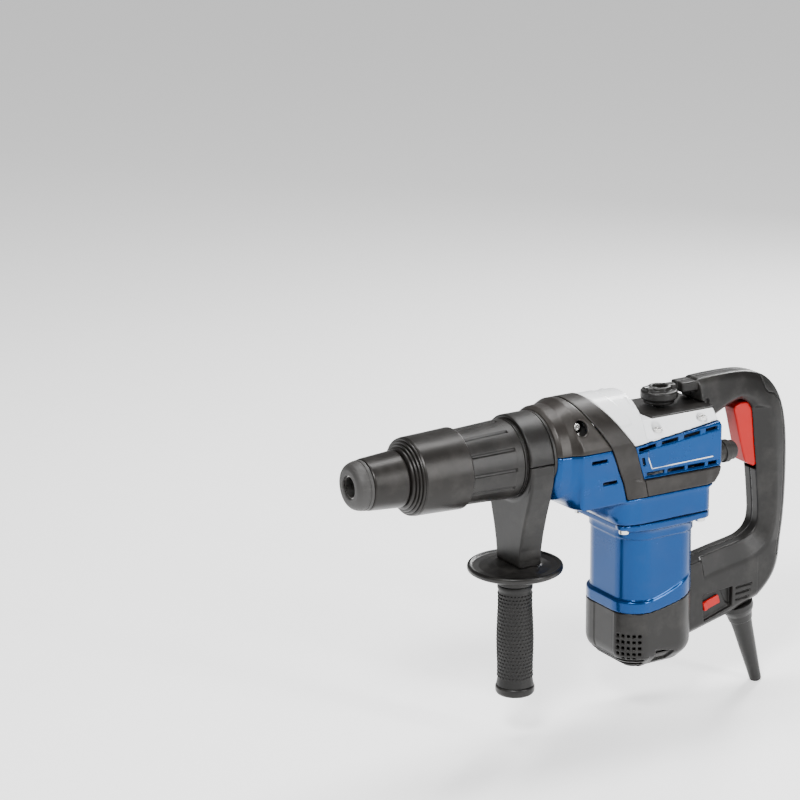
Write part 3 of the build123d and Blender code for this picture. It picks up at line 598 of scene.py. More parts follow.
# %% The body as one distance
def plan_box(x, y, x0, x1, half, front_corner, rear_corner):
    """Rounded rectangle in plan, with its own corner radius in front and behind."""
    middle, reach = (x0 + x1) / 2, (x1 - x0) / 2
    corner = np.where(x > middle, rear_corner, front_corner)
    qx, qy = np.abs(x - middle) - reach + corner, np.abs(y) - half + corner
    return np.minimum(np.maximum(qx, qy), 0) + np.hypot(np.maximum(qx, 0), np.maximum(qy, 0)) - corner


drum_side = outline([(HOUSING_FRONT, -60), (HOUSING_FRONT, 38.6), (188, 41.1), (198, 41.6), (207, BARREL_R),
                     (276, BARREL_R), (276, -60)])
case_front = outline([(-HALF_WIDTH, -46), (HALF_WIDTH, -46), (HALF_WIDTH, 8.5), (31.5, DECK_Z), (-31.5, DECK_Z),
                      (-HALF_WIDTH, 8.5)])
keel_side = outline([(183, -12), (189, -35.5), (207, -44.5), (232, -58), (250, -66), (257, PARTING_Z),
                     (300, PARTING_Z), (300, -12)])
rear_slope = outline([(150, 90), (HOUSING_REAR, 90), (HOUSING_REAR, -28), (357, -37), (350, -46), (350, -90),
                      (150, -90)])
SCREWS = [(258.5, 35.0), (258.5, -35.0), (341.0, 37.0), (341.0, -37.0)]


def body(x, y, z):
    drum = drum_side(x, np.hypot(y, z))
    case = smooth_max(case_front(y, z), slab(x, 207, HOUSING_REAR), 3.0)
    case = smooth_max(case, rear_slope(x, z), 3.0)
    lower = smooth_max(plan_box(x, y, CASE_FRONT, CASE_REAR, HALF_WIDTH + 1, 18, 10), slab(z, PARTING_Z, -30), 1.2)
    keel = smooth_max(keel_side(x, z), np.abs(y) - 36, 16)
    whole = smooth_min(smooth_min(drum, case, 3), lower, 4)
    whole = smooth_min(whole, np.maximum(keel, PARTING_Z - z), 12)
    for sx, sy in SCREWS[:2]:
        whole = smooth_min(whole, post(x, y, z, (sx, sy), 7.4, PARTING_Z, -46, 6), 6)
    return np.maximum(whole, PARTING_Z - z)


strap_line = [(213, 47), (225.5, 26), (238, 5), (251, -28), (255, -44)]
rear_line = [(233, 47), (247.5, 26), (262, 5), (273, -28), (276.5, -44)]
hood_cut = outline([(150, 5.1), (237.6, 5.1), (225.1, 26), (212.6, 47), (204, 62), (150, 62)])
strap_cut = outline([(206, 58)] + [(x + 0.3, z) for x, z in strap_line]
                    + [(x - 0.3, z) for x, z in rear_line[::-1]] + [(226, 58)])
cover_cut = outline([(228, 56), (233.4, 47), (247.9, 26), (262.4, 5.2), (263, 4.2), (368, 13.6), (368, 60), (228, 60)])
panel_cut = outline([(262.6, 3.2), (273.4, -27.9), (368, -29.2), (368, 12.6)])
trim_cut = outline([(273.5, -28.5), (368, -29.9), (368, -44), (276.9, -44)])
blue_cut = outline([(150, 4.6), (237.5, 4.6), (250.7, -28), (254.7, -44.5), (380, -44.5), (380, -90), (150, -90)])


def hollow(x, y, z, wall):
    """Positive inside the cavity: what a shell of that thickness leaves out, above the thick floor."""
    return -np.maximum(body(x, y, z) + wall, -53.5 - z)


def side_slots(x, y, z, slots, inner):
    """Distance to a row of flat slots through both side walls, as (x0, x1, z0, z1)."""
    best = 99.0
    for x0, x1, z0, z1 in slots:
        best = np.minimum(best, np.maximum(slab(x, x0, x1), slab(z, z0, z1)))
    return np.maximum(best, inner - np.abs(y))


def barrel_bore(x, y, z):
    """Opening in the front wall that the cylinder and the striker pass through."""
    return np.maximum(np.hypot(y, z) - 27, x - 212)


# %% Gear housing, hood and strap
def gear_shape(x, y, z):
    outer = smooth_max(body(x, y, z), blue_cut(x, z), 1.0)
    slots = side_slots(x, y, z, [(216.5, 233, -5.0, -2.2), (229.3, 244.3, -26.5, -23.7)], 34)
    outer = smooth_max(outer, -slots, 0.4)
    bearing = np.hypot(x - MOTOR_X, y) - 14.2
    return np.maximum(np.maximum(outer, hollow(x, y, z, 3.0)), -np.minimum(bearing, barrel_bore(x, y, z)))


def hood_shape(x, y, z):
    outer = smooth_max(body(x, y, z) - 0.7, hood_cut(x, z), 1.0)
    outer = smooth_max(outer, np.abs(y) * 0.86 + z * 0.51 - 45.0, 0.8)
    hole = np.maximum(np.hypot(x - 211, z - 27) - 6.2, 22 - np.abs(y))
    outer = smooth_max(outer, -np.minimum(hole, barrel_bore(x, y, z)), 1.2)
    return np.maximum(outer, hollow(x, y, z, 2.2))


def strap_shape(x, y, z):
    outer = smooth_max(body(x, y, z) - 0.85, strap_cut(x, z), 0.7)
    return np.maximum(outer, hollow(x, y, z, 2.2))


gear = mould("gear_casting", gear_shape, (184, -47, -70), (361, 47, 8), 1.1)
show(gear, "housing", "blue_shell", "gear_housing")
show(mould("hood", hood_shape, (184, -48, 3), (240, 48, 48), 0.9), "housing", "hood_plastic", "upper_hood")
show(mould("strap", strap_shape, (210, -48, -46), (280, 48, 48), 1.0), "housing", "strap_plastic", "strap_band")

# %% [markdown]
# ## White cover and side panels
# The white cover closes the gearbox from above. Its four screws sit in deep pockets on the sloping shoulders.
# The blue side panels have a sunk rail along both long edges, and the air slots are punched inside the rails.

# %% Cover, deck, side panels, trim and rear wall
POCKETS = [(291.5, 37.2), (291.5, -37.2), (341.0, 37.2), (341.0, -37.2)]
SEATS = (11.5, 11.5, 15.0, 15.0)


arc_side = outline([(228, 60), (233.4, 47), (247.9, 26), (249.5, 23), (263, 23.6), (262, 28), (252, 47), (250, 60)])


def cover_shape(x, y, z):
    raised = np.where(arc_side(x, z) < 0, 0.1, 0.9)
    outer = smooth_max(body(x, y, z) + raised, cover_cut(x, z), 0.8)
    deck = np.maximum(np.maximum(291 - x, np.abs(y) - 30), 10 - z)
    outer = smooth_max(outer, -deck, 0.6)
    rib = rounded_box(x, np.abs(y), z, (271, 21, 36.4), (1.2, 7, 5), 0.8)
    outer = smooth_min(outer, np.maximum(rib, body(x, y, z) - 0.5), 0.8)
    outer = np.maximum(outer, hollow(x, y, z, 3.4))
    for (px, py), floor in zip(POCKETS, SEATS):
        wall = np.hypot(x - px, y - py) - 5.2
        boss = np.maximum(np.maximum(wall - 1.8, body(x, y, z) + 0.9), floor - 3 - z)
        outer = np.minimum(outer, np.maximum(boss, cover_cut(x, z)))
        outer = smooth_max(outer, -np.maximum(wall, floor - z), 0.5)
    return outer


def deck_shape(x, y, z):
    plate = np.maximum(np.maximum(slab(x, 291.4, HOUSING_REAR), np.abs(y) - 29.6), slab(z, 19.6, DECK_Z - 0.2))
    return np.maximum(plate, 5.1 - np.hypot(x - KNOB_X, y))


TOP_SLOTS = [(268.5 + 24.2 * i, 286.5 + 24.2 * i) for i in range(4)]
LOW_SLOTS = [(277.0 + 22.4 * i, 296.0 + 22.4 * i) for i in range(4)]


def top_edge(x):
    return 3.2 + (x - 262.6) * 0.0893


def low_edge(x):
    return -27.9 - (x - 273.4) * 0.0138



def panel_shape(side):
    def shape(x, y, z):
        outer = smooth_max(body(x, y, z), panel_cut(x, z), 0.8)
        outer = np.maximum(outer, 36 - side * y)
        rail_top = np.maximum(slab(z - top_edge(x), -6.4, -1.6), 266 - x)
        rail_low = np.maximum(slab(z - low_edge(x), 1.4, 6.0), 274 - x)
        rails = np.maximum(np.minimum(rail_top, rail_low), HALF_WIDTH - 0.9 - side * y)
        outer = smooth_max(outer, -np.maximum(rails, x - 356), 0.4)
        slots = 99.0
        for a, b in TOP_SLOTS:
            slots = np.minimum(slots, np.maximum(slab(x, a, min(b, 354)), slab(z - top_edge(x), -5.5, -2.5)))
        for a, b in LOW_SLOTS:
            slots = np.minimum(slots, np.maximum(slab(x, a, min(b, 354)), slab(z - low_edge(x), 2.2, 5.2)))
        slots = np.minimum(slots, np.maximum(slab(x - (-15.0 - z) * 0.3, 272.0, 275.0), slab(z, -15.0, -7.5)))
        outer = smooth_max(outer, -slots, 0.3)
        return np.maximum(outer, hollow(x, y, z, 3.0))
    return shape


def trim_shape(x, y, z):
    outer = smooth_max(body(x, y, z) - 0.5, trim_cut(x, z), 0.9)
    return np.maximum(outer, hollow(x, y, z, 2.2))


def rear_shape(x, y, z):
    outer = smooth_max(body(x, y, z), panel_cut(x, z), 0.8)
    outer = np.maximum(outer, np.abs(y) - 35.6)
    return np.maximum(np.maximum(outer, 330 - x), hollow(x, y, z, 3.0))


show(mould("white_shell", cover_shape, (230, -47, 2), (362, 47, 47), 1.0), "housing", "white_cover", "top_cover")
show(mould("deck_plate", deck_shape, (290, -31, 18), (361, 31, 24), 1.0), "housing", "neck_plastic", "knob_deck")
for side, name in ((-1, "left"), (1, "right")):
    low, high = sorted((35 * side, 46 * side))
    panel = mould(f"{name}_panel", panel_shape(side), (261, low, -31), (361, high, 14), 0.65)
    show(panel, "housing", "blue_shell", f"side_panel_{name}")
show(mould("lower_trim_band", trim_shape, (272, -47, -46), (361, 47, -27), 0.9), "housing", "strap_plastic", "lower_trim")
show(mould("rear_wall", rear_shape, (355, -37, -31), (361, 37, 14), 0.9), "housing", "neck_plastic", "rear_cover")

# %% [markdown]
# ## Motor housing
# The motor stands upright under the gearbox. Its housing is a square tube with very round corners, flared at
# the top into the bolted flange and gathered at the bottom into a belt. The belt's edges run level round the
# front and climb towards the handle, so both are lines over the length of the tool.

# %% Motor housing and end cap
MOTOR_HALF, MOTOR_CORNER, END_CORNER = 39.7, 24.0, 25.0


def belt_low(x):
    return np.interp(x, [284, 296, 312, 330, 350], [-157, -155.5, -152.4, -147.4, -141])


def belt_high(x):
    return np.interp(x, [280, 288, 298, 309, 321, 334, 350], [-145.6, -145.0, -142.3, -138.6, -133.4, -127.5, -121])


def motor_plan(x, y, grow):
    half = MOTOR_HALF + grow
    return plan_box(x, y, MOTOR_X - half, MOTOR_X + half, half, MOTOR_CORNER + grow, MOTOR_CORNER + grow)


def end_plan(x, y, grow):
    corner = END_CORNER + grow
    return plan_box(x, y, end_low[0] - grow, end_high[0] + grow, end_high[1] + grow, corner, corner)



def motor_shape(x, y, z):
    flange = smooth_max(plan_box(x, y, CASE_FRONT, CASE_REAR, HALF_WIDTH + 1, 18, 10), slab(z, -76, -66), 1.5)
    for sx, sy in SCREWS[:2]:
        flange = smooth_min(flange, post(x, y, z, (sx, sy), 6.8, -74.2, -66, 1.2), 2)
    skirt = smooth_max(motor_plan(x, y, 1.3), slab(z, -87, -68), 0.7)
    tube = np.maximum(motor_plan(x, y, 0), slab(z, -160, -70))
    whole = np.minimum(smooth_min(flange, skirt, 8), tube)
    belt = smooth_max(end_plan(x, y, 0), np.maximum(z - belt_high(x), -160 - z), 2.2)
    whole = smooth_min(whole, belt, 0.9)
    whole = smooth_max(whole, belt_low(x) + 0.2 - z, 0.5)
    inside = np.maximum(motor_plan(x, y, -3), z + 73)
    whole = np.maximum(np.maximum(whole, z - MOTOR_TOP), -inside)
    return np.maximum(whole, 15 - np.hypot(x - MOTOR_X, y))


VENT_ANGLES = [math.radians(a) for a in (-149, -143, -137, -131, -125)]
pocket_side = outline([(291.8, -194), (313.2, -199.1), (307.8, -207.8), (292.1, -208.3)])
rib_side = outline([(277.6, -199.5), (281.4, -213), (287.6, -213), (285.0, -200.6)])


def vent_columns(x, y, angles):
    best = 99.0
    for a in angles:
        across = np.abs(-(x - MOTOR_X) * math.sin(a) + y * math.cos(a)) - 1.45
        ahead = (x - MOTOR_X) * math.cos(a) + y * math.sin(a)
        best = np.minimum(best, np.maximum(across, 30 - ahead))
    return best


def end_shape(x, y, z):
    plan = end_plan(x, y, 0)
    slope = (plan + CAP_BOTTOM + 14.5 - z) * 0.7071
    cup = smooth_max(smooth_max(plan, slope, 5), CAP_BOTTOM - z, 5)
    outer = smooth_max(cup, z - belt_low(x) + 0.2, 0.6)
    front_band = np.maximum(np.abs(y + 4) - 15, np.maximum(x - 268, -201 - z))
    outer = smooth_max(outer, -np.maximum(front_band, -(cup + 0.6)), 0.4)
    rib = np.maximum(np.maximum(rib_side(x, z), cup - 0.5), 18 - np.abs(y))
    outer = smooth_min(outer, rib, 0.6)
    pocket = np.maximum(np.maximum(pocket_side(x, z), -(cup + 1.8)), y + 10)
    outer = smooth_max(outer, -pocket, 0.7)
    for level in (-203.4, -207.4, -211.2):
        groove = np.maximum(np.maximum(np.abs(z - level) - 0.95, -(cup + 2.2)), x - 281 - (z + 203) * -0.3)
        outer = smooth_max(outer, -groove, 0.5)
    inside = np.maximum(np.maximum(plan, slope) + 3.2, CAP_BOTTOM + 3.2 - z)
    outer = np.maximum(outer, -inside)
    rows = np.minimum.reduce([np.abs(z - level) - 1.35 for level in (-178.5, -184.3, -190.1, -195.9)])
    vents = np.maximum(vent_columns(x, y, VENT_ANGLES), rows)
    short_row = np.maximum(vent_columns(x, y, VENT_ANGLES[1:4]), np.abs(z + 200.4) - 0.8)
    return np.maximum(np.maximum(outer, -vents), -short_row)


show(mould("motor_tube", motor_shape, (252, -47, -161), (352, 47, -69), 1.15), "housing", "blue_shell", "motor_housing")
show(mould("motor_foot", end_shape, (257, -43, -215), (343, 43, -140), 0.85), "housing", "neck_plastic", "motor_end_cap")

# %% [markdown]
# ## Rear D-handle
# Two half shells meet on the middle plane. Seen from the side the handle is its outer rim minus the hand gap;
# both are smooth closed outlines, and the facets along the rim and round the gap are planes laid against
# those two distances. A softer rubber back is moulded over the rear, behind a notch at the top.

# %% Handle shells, soft back, trigger and lock switch
rim_curve = [(345.5, 42.8), (358, 43.9), (374, 44.5), (392, 44.6), (408, 43.8), (421, 41.2), (432, 36.6), (441, 29.4),
             (448.5, 19.6), (454.4, 7), (458.6, -10), (460.9, -32), (461.5, -58), (461.0, -86), (458.8, -114),
             (454.2, -142), (450.4, -153), (444.4, -163.4), (437, -171.5), (429, -178), (392, -190), (330, -205)]


def open_curve(points, steps=4):
    """Catmull-Rom curve through points whose ends stay put."""
    ring = [np.array(p, float) for p in [points[0]] + points + [points[-1]]]
    made = []
    for a, b, c, d in zip(ring, ring[1:], ring[2:], ring[3:]):
        for s in range(steps):
            t = s / steps
            made.append(0.5 * (2 * b + (c - a) * t + (2 * a - 5 * b + 4 * c - d) * t * t
                               + (3 * b - a - 3 * c + d) * t ** 3))
    return made + [ring[-1]]


rim = outline(open_curve(rim_curve[:-2]) + rim_curve[-2:] + [(318, -205), (318, 42.8)])
gap = outline([(300, 60), (345.5, 60), (345.5, 23.4), (360.5, 23.4), (360.5, -6), (362, -6)]
              + open_curve([(367, 0.5), (373, 6), (384, 12), (396, 16.6), (404.5, 17.9), (412, 14.7), (416.6, 9.5),
                            (419, 2), (422.6, -30), (427, -66), (429.2, -90), (429.4, -98), (428, -106.5),
                            (423.4, -113.6), (415.5, -118.4), (407, -120.6), (388, -123.6), (366, -127.4)])
              + [(347, -130.6), (300, -130.6)])
grip_room = outline([(428, 0), (433, 13), (440, 7), (450, -20), (452, -70), (450, -106), (444, -142), (433, -164),
                     (426, -168), (360, -184), (360, -141), (388, -137), (417, -131), (432, -120), (437, -104),
                     (433, -50)])
soft_line = outline([(427.9, 60), (427.9, 31.4), (430.5, 24.3), (434.1, 20.9), (441.2, 18.8), (448.6, 10.8),
                     (452.3, -0.2), (454.7, -28), (455.4, -60), (454.6, -92), (452, -120), (447.5, -139),
                     (480, -139), (480, 60)])
switch_pocket = outline([(362, -163.5), (396.6, -161.4), (396.2, -180), (364.2, -189.4)])
corner_pocket = outline([(385, -163), (396.6, -161.4), (396.2, -180), (390.6, -175.8)])
PIVOT_X = (span("trigger")[0][0] + 24.6)
TILT = math.radians(17)
LOCK_TILT = math.radians(16)


def handle_solid(x, y, z):
    outer, inner = rim(x, z), -gap(x, z)
    wide = np.abs(y)
    whole = smooth_max(smooth_max(outer, inner, 2.0), wide - HANDLE_HALF, 1.0)
    tongue = rounded_box(x, y, z, (350, 0, 37.6), (11, 9.5, 4.6), 1.6)
    whole = smooth_min(smooth_max(whole, np.where(z > -60, 356 - x, -50), 2.0), tongue, 1.2)
    low = np.clip((-125 - z) / 30, 0, 1)
    whole = smooth_max(whole, (wide - 8.6) * 0.768 + outer * 0.64 - 2.2 * low, 1.6)
    whole = smooth_max(whole, (wide - 13) * 0.970 + (outer + 6) * 0.2425 - 4.6 * low, 1.2)
    collar = np.clip((x - 360) / 3, 0, 1)
    whole = smooth_max(whole, (wide - 14.5 + 3.5 * collar + inner) * 0.7071, 1.0)
    facet = np.clip((14 - z) / 8, 0, 1) * collar
    whole = smooth_max(whole, (wide - 9.2 - 8 * (1 - facet) + 0.36 * inner) * 0.941, 1.2)
    whole = np.maximum(whole, -np.maximum(end_plan(x, y, 0.4), z + 120))
    return np.maximum(whole, -np.maximum(motor_plan(x, y, 0.4), z + 60))


def shell_shape(side):
    def shape(x, y, z):
        whole = smooth_max(handle_solid(x, y, z), 0.12 - side * y, 0.4)
        whole = smooth_max(whole, -(soft_line(x, z) - 0.15), 0.5)
        room = np.where(z > -60, 9.2, 7.0)
        whole = np.maximum(whole, -np.maximum(grip_room(x, z), np.abs(y) - room))
        slot = np.maximum(np.maximum(slab(x, 408, 434), np.abs(y) - 8.8), slab(z, -53.5, 15))
        whole = smooth_max(whole, -slot, 0.4)
        px, pz = x - 414, z + 184
        along = px * math.sin(TILT) - pz * math.cos(TILT)
        around = np.sqrt(np.maximum(px * px + pz * pz - along ** 2 + y * y, 0)) - 8.1
        whole = np.maximum(whole, -np.maximum(around, -24 - along))
        pin = np.hypot(x - PIVOT_X, z - 8) - 2.6
        whole = np.maximum(whole, -np.maximum(pin, np.abs(y) - 9.7))
        if side < 0:
            whole = smooth_max(whole, -np.maximum(switch_pocket(x, z), y + 12.8), 0.8)
            whole = smooth_max(whole, -np.maximum(corner_pocket(x, z), y + 11.0), 0.6)
        for i in range(3):
            level = -163.2 - 5.9 * i
            slot = np.maximum(slab(x, 400.4, 419.5 - 1.6 * i), np.abs(z - level - (x - 400) * 0.055) - 1.0)
            whole = smooth_max(whole, -np.maximum(slot, 14.2 - np.abs(y)), 0.4)
        seam = np.maximum(np.abs(x - 426.6) - 0.45, np.maximum(slab(z, -178, -138), 15.2 - np.abs(y)))
        return smooth_max(whole, -seam, 0.3)
    return shape


def soft_shape(x, y, z):
    return smooth_max(handle_solid(x, y, z), soft_line(x, z) + 0.15, 0.5)


trigger_side = outline([(399.6, 8.8)] + open_curve([(401, 11.0), (406, 12.8), (412, 13.4), (420, 13.7)])
                       + [(428, 13.3), (428, -48), (424, -50.4)]
                       + open_curve([(414.2, -45.0), (410.6, -34), (406.2, -18), (402.6, -3), (400.4, 5)]))


def trigger_shape(x, y, z):
    blade = smooth_max(trigger_side(x, z), np.abs(y) - 8.3, 2.0)
    pin = smooth_max(np.hypot(x - PIVOT_X, z - 8) - 2.45, np.abs(y) - 9.4, 0.4)
    return np.minimum(blade, pin)


def lock_shape(x, y, z):
    u = (x - 372.8) * math.cos(LOCK_TILT) + (z + 173) * math.sin(LOCK_TILT)
    w = (z + 173) * math.cos(LOCK_TILT) - (x - 372.8) * math.sin(LOCK_TILT)
    slider = rounded_box(u, y, w, (0, -14.2, 0), (9.5, 1.2, 4.2), 0.7)
    ridge = rounded_box(u, y, w, (-7.4, -15.3, 0), (1.9, 1.2, 4.1), 0.6)
    return smooth_min(slider, ridge, 0.5)


for side, name in ((-1, "left"), (1, "right")):
    low = (329, -17 if side < 0 else -1, -207)
    high = (463, 1 if side < 0 else 17, 46)
    shell = mould(f"handle_{name}_skin", shell_shape(side), low, high, 1.0)
    show(shell, "housing", "handle_plastic", f"handle_shell_{name}")
show(mould("soft_back", soft_shape, (426, -17, -141), (463, 17, 46), 0.9), "housing", "soft_rubber", "soft_grip")
show(mould("trigger_paddle", trigger_shape, (398, -14, -52), (429, 14, 15), 0.7), "trigger", "red_plastic", "trigger")
show(mould("lock_slider", lock_shape, (361, -18, -181), (384, -12, -165), 0.45), "lock_switch", "red_plastic", "lock_switch")

# %% [markdown]
# ## Knob, bumpers and cord boot
# The mode knob has a plain round rim and a bar to turn it by. Two ribbed rubber stubs behind the gearbox let
# the handle spring a little. The boot keeps the cable from kinking where it enters the handle.

# %% Knob, rear bumpers and boot
def knob_shape(x, y, z):
    dx = x - KNOB_X
    out = np.hypot(dx, y)
    disc = smooth_max(out - 17.0, slab(z, 29.6, 37.8), 2.2)
    foot = smooth_max(out - 14.2, slab(z, 26.1, 31), 0.8)
    wing = smooth_max(rounded_box(dx, y, z, (0, 0, 38), (16.6, 5.2, 3.4), 1.4), out - 16.6, 1.2)
    ring = smooth_max(out - 10.6, slab(z, 30, 41.2), 1.8)
    whole = smooth_min(smooth_min(smooth_min(disc, foot, 1.0), wing, 1.2), ring, 1.0)
    whole = smooth_max(whole, -np.maximum(out - 6.6, 33.5 - z), 1.4)
    pivot = smooth_max(out - 5.0, slab(z, 8, 30), 0.5)
    return np.minimum(whole, pivot)


def pointer_shape(x, y, z):
    return rounded_box(x - KNOB_X, y, z, (-13.4, 0, 41.3), (2.2, 0.7, 0.35), 0.25)


show(mould("mode_dial", knob_shape, (302, -18, 7), (338, 18, 43), 0.6), "knob", "handle_plastic", "mode_knob")
show(mould("dial_pointer", pointer_shape, (303, -2, 40), (310, 2, 43), 0.3), "knob", "white_cover")

bumper_profile = [(360.1, 0), (360.1, 10.5), (366, 10.5), (366, 9), (370, 9), (370, 10.5), (376, 10.5),
                  (376, 9), (382, 9), (384, 7.4), (384, 0)]
parts = []
for side in (-1, 1):
    stub = turned(f"bumper_{side}", bumper_profile, size=0.7)
    stub.data.transform(Matrix.Translation((0, side * 28 * MM, -22 * MM)))
    parts.append(stub)
with bpy.context.temp_override(active_object=parts[0], selected_editable_objects=parts, selected_objects=parts):
    bpy.ops.object.join()
parts[0].name = parts[0].data.name = "rear_stubs"
show(parts[0], "housing", "soft_rubber", "rear_bumpers")

boot_profile = [(18, 4.5), (18, 8), (-0.4, 8), (-0.4, 15.2), (-5.5, 15.2), (-8.5, 14.2), (-12, 12.4), (-18.6, 11.3),
                (-19.0, 10.7), (-19.8, 10.4), (-30, 9.4), (-41, 8.7), (-52, 8.0), (-63, 7.2), (-74, 6.4),
                (-87.5, 5.6), (-87.5, 4.5)]
boot = turned("cable_boot", boot_profile, "Z", (0, 0), 0.6)
boot.data.transform(Matrix.Translation((0.414, 0, -0.184)) @ Euler((0, -TILT, 0)).to_matrix().to_4x4())
show(boot, "housing", "boot_rubber", "cord_boot")

# %% [markdown]
# ## Repeated small parts
# Screws and grip studs repeat, so Geometry Nodes places them. One tree puts an object on every point of a
# small mesh, and another wraps a grid of studs round the grip and drops each stud onto the sleeve. Both have
# named inputs. The result is turned into a plain mesh, so it travels with the tool.

# %% Node trees
def tree_with(name, inputs):
    """Geometry node tree with named inputs, its input node and its output node."""
    tree = bpy.data.node_groups.new(name, "GeometryNodeTree")
    tree.interface.new_socket("Geometry", in_out="INPUT", socket_type="NodeSocketGeometry")
    for label, kind, value in inputs:
        socket = tree.interface.new_socket(label, in_out="INPUT", socket_type="NodeSocket" + kind)
        if value is not None:
            socket.default_value = value
    tree.interface.new_socket("Geometry", in_out="OUTPUT", socket_type="NodeSocketGeometry")
    return tree, tree.nodes.new("NodeGroupInput"), tree.nodes.new("NodeGroupOutput")


def add(tree, kind, settings=None, inputs=None):
    """One node, its settings, and its inputs as values or as sockets to link from."""
    node = tree.nodes.new(kind)
    for key, value in (settings or {}).items():
        setattr(node, key, value)
    for key, value in (inputs or {}).items():
        if isinstance(value, bpy.types.NodeSocket):
            tree.links.new(value, node.inputs[key])
        else:
            node.inputs[key].default_value = value
    return node


def baked(name, base, tree, values):
    """Plain mesh of `tree` run on the object `base` with its inputs set by name."""
    modifier = base.modifiers.new("nodes", "NODES")
    modifier.node_group = tree
    identifiers = {item.name: item.identifier for item in tree.interface.items_tree if item.in_out == "INPUT"}
    for label, value in values.items():
        modifier[identifiers[label]] = value
    base.update_tag()
    evaluated = base.evaluated_get(bpy.context.evaluated_depsgraph_get())
    mesh = bpy.data.meshes.new_from_object(evaluated)
    mesh.name = name
    base.modifiers.remove(modifier)
    base.data = mesh
    base.name = name
    base.data.shade_smooth()
    return base


on_points, given, result = tree_with("part_on_points", [("Part", "Object", None), ("Size", "Float", 1.0),
                                                        ("Finish", "Material", None)])
part = add(on_points, "GeometryNodeObjectInfo", inputs={"Object": given.outputs["Part"]})
placed = add(on_points, "GeometryNodeInstanceOnPoints", inputs={
    "Points": given.outputs["Geometry"], "Instance": part.outputs["Geometry"], "Scale": (1, 1, 1)})
scaled = add(on_points, "GeometryNodeScaleInstances", inputs={"Instances": placed.outputs[0]})
on_points.links.new(given.outputs["Size"], scaled.inputs["Scale"])
solid = add(on_points, "GeometryNodeRealizeInstances", inputs={"Geometry": scaled.outputs[0]})
coated = add(on_points, "GeometryNodeSetMaterial", inputs={
    "Geometry": solid.outputs[0], "Material": given.outputs["Finish"]})
on_points.links.new(coated.outputs[0], result.inputs["Geometry"])

stud_field, given, result = tree_with("stud_field", [
    ("Around", "Int", 36), ("Rows", "Int", 26), ("Bottom", "Float", -0.205), ("Top", "Float", -0.127),
    ("Reach", "Float", 0.016), ("Stud", "Float", 0.0007), ("Sleeve", "Object", None), ("Finish", "Material", None)])
grid = add(stud_field, "GeometryNodeMeshGrid", inputs={
    "Size X": 1.0, "Size Y": 1.0, "Vertices X": given.outputs["Around"], "Vertices Y": given.outputs["Rows"]})
place = add(stud_field, "GeometryNodeInputPosition")
split = add(stud_field, "ShaderNodeSeparateXYZ", inputs={0: place.outputs[0]})


def sums(tree, operation, first, second):
    return add(tree, "ShaderNodeMath", {"operation": operation}, {0: first, 1: second}).outputs[0]


across = sums(stud_field, "ADD", split.outputs["X"], 0.5)
gaps = sums(stud_field, "SUBTRACT", given.outputs["Around"], 1.0)
column = sums(stud_field, "MULTIPLY", across, gaps)
rows_apart = sums(stud_field, "SUBTRACT", given.outputs["Rows"], 1.0)
up = sums(stud_field, "ADD", split.outputs["Y"], 0.5)
row = sums(stud_field, "MULTIPLY", up, rows_apart)
odd = sums(stud_field, "MULTIPLY", sums(stud_field, "PINGPONG", row, 1.0), 0.5)
turn = sums(stud_field, "MULTIPLY", sums(stud_field, "DIVIDE", sums(stud_field, "ADD", column, odd),
                                         given.outputs["Around"]), 2 * math.pi)
height = sums(stud_field, "ADD", given.outputs["Bottom"], sums(
    stud_field, "MULTIPLY", up, sums(stud_field, "SUBTRACT", given.outputs["Top"], given.outputs["Bottom"])))
side_x = sums(stud_field, "ADD", sums(stud_field, "MULTIPLY", given.outputs["Reach"],
                                      sums(stud_field, "COSINE", turn, 0.0)), GRIP_X * MM)
side_y = sums(stud_field, "MULTIPLY", given.outputs["Reach"], sums(stud_field, "SINE", turn, 0.0))
spot = add(stud_field, "ShaderNodeCombineXYZ", inputs={"X": side_x, "Y": side_y, "Z": height})
moved = add(stud_field, "GeometryNodeSetPosition", inputs={"Geometry": grid.outputs[0], "Position": spot.outputs[0]})
sleeve = add(stud_field, "GeometryNodeObjectInfo", inputs={"Object": given.outputs["Sleeve"]})
near = add(stud_field, "GeometryNodeProximity", {"target_element": "FACES"}, {0: sleeve.outputs["Geometry"]})
seated = add(stud_field, "GeometryNodeSetPosition", inputs={"Geometry": moved.outputs[0], "Position": near.outputs["Position"]})
ball = add(stud_field, "GeometryNodeMeshIcoSphere", inputs={"Radius": given.outputs["Stud"], "Subdivisions": 2})
studs = add(stud_field, "GeometryNodeInstanceOnPoints", inputs={"Points": seated.outputs[0], "Instance": ball.outputs[0]})
solid = add(stud_field, "GeometryNodeRealizeInstances", inputs={"Geometry": studs.outputs[0]})
coated = add(stud_field, "GeometryNodeSetMaterial", inputs={
    "Geometry": solid.outputs[0], "Material": given.outputs["Finish"]})
stud_field.links.new(coated.outputs[0], result.inputs["Geometry"])

# %% Place the repeated parts
def hexed(name, head_r, head_h, hex_r, shank_r, shank):
    """Socket-head screw standing on its head face at the origin, pointing down, in mm."""
    def shape(x, y, z):
        head = smooth_max(np.hypot(x, y) - head_r, slab(z, 0, head_h), 0.5)
        corner = np.maximum(np.abs(y), np.abs(x) * 0.866 + np.abs(y) * 0.5) - hex_r
        head = smooth_max(head, -np.maximum(corner, head_h * 0.45 - z), 0.25)
        stem = np.maximum(np.hypot(x, y) - shank_r, slab(z, -shank, 1))
        return np.minimum(head, stem)
    reach = head_r + 0.5
    return mould(name, shape, (-reach, -reach, -shank), (reach, reach, head_h), 0.32)


def points_at(name, places):
    return new_piece(name, [[v * MM for v in p] for p in places], [])


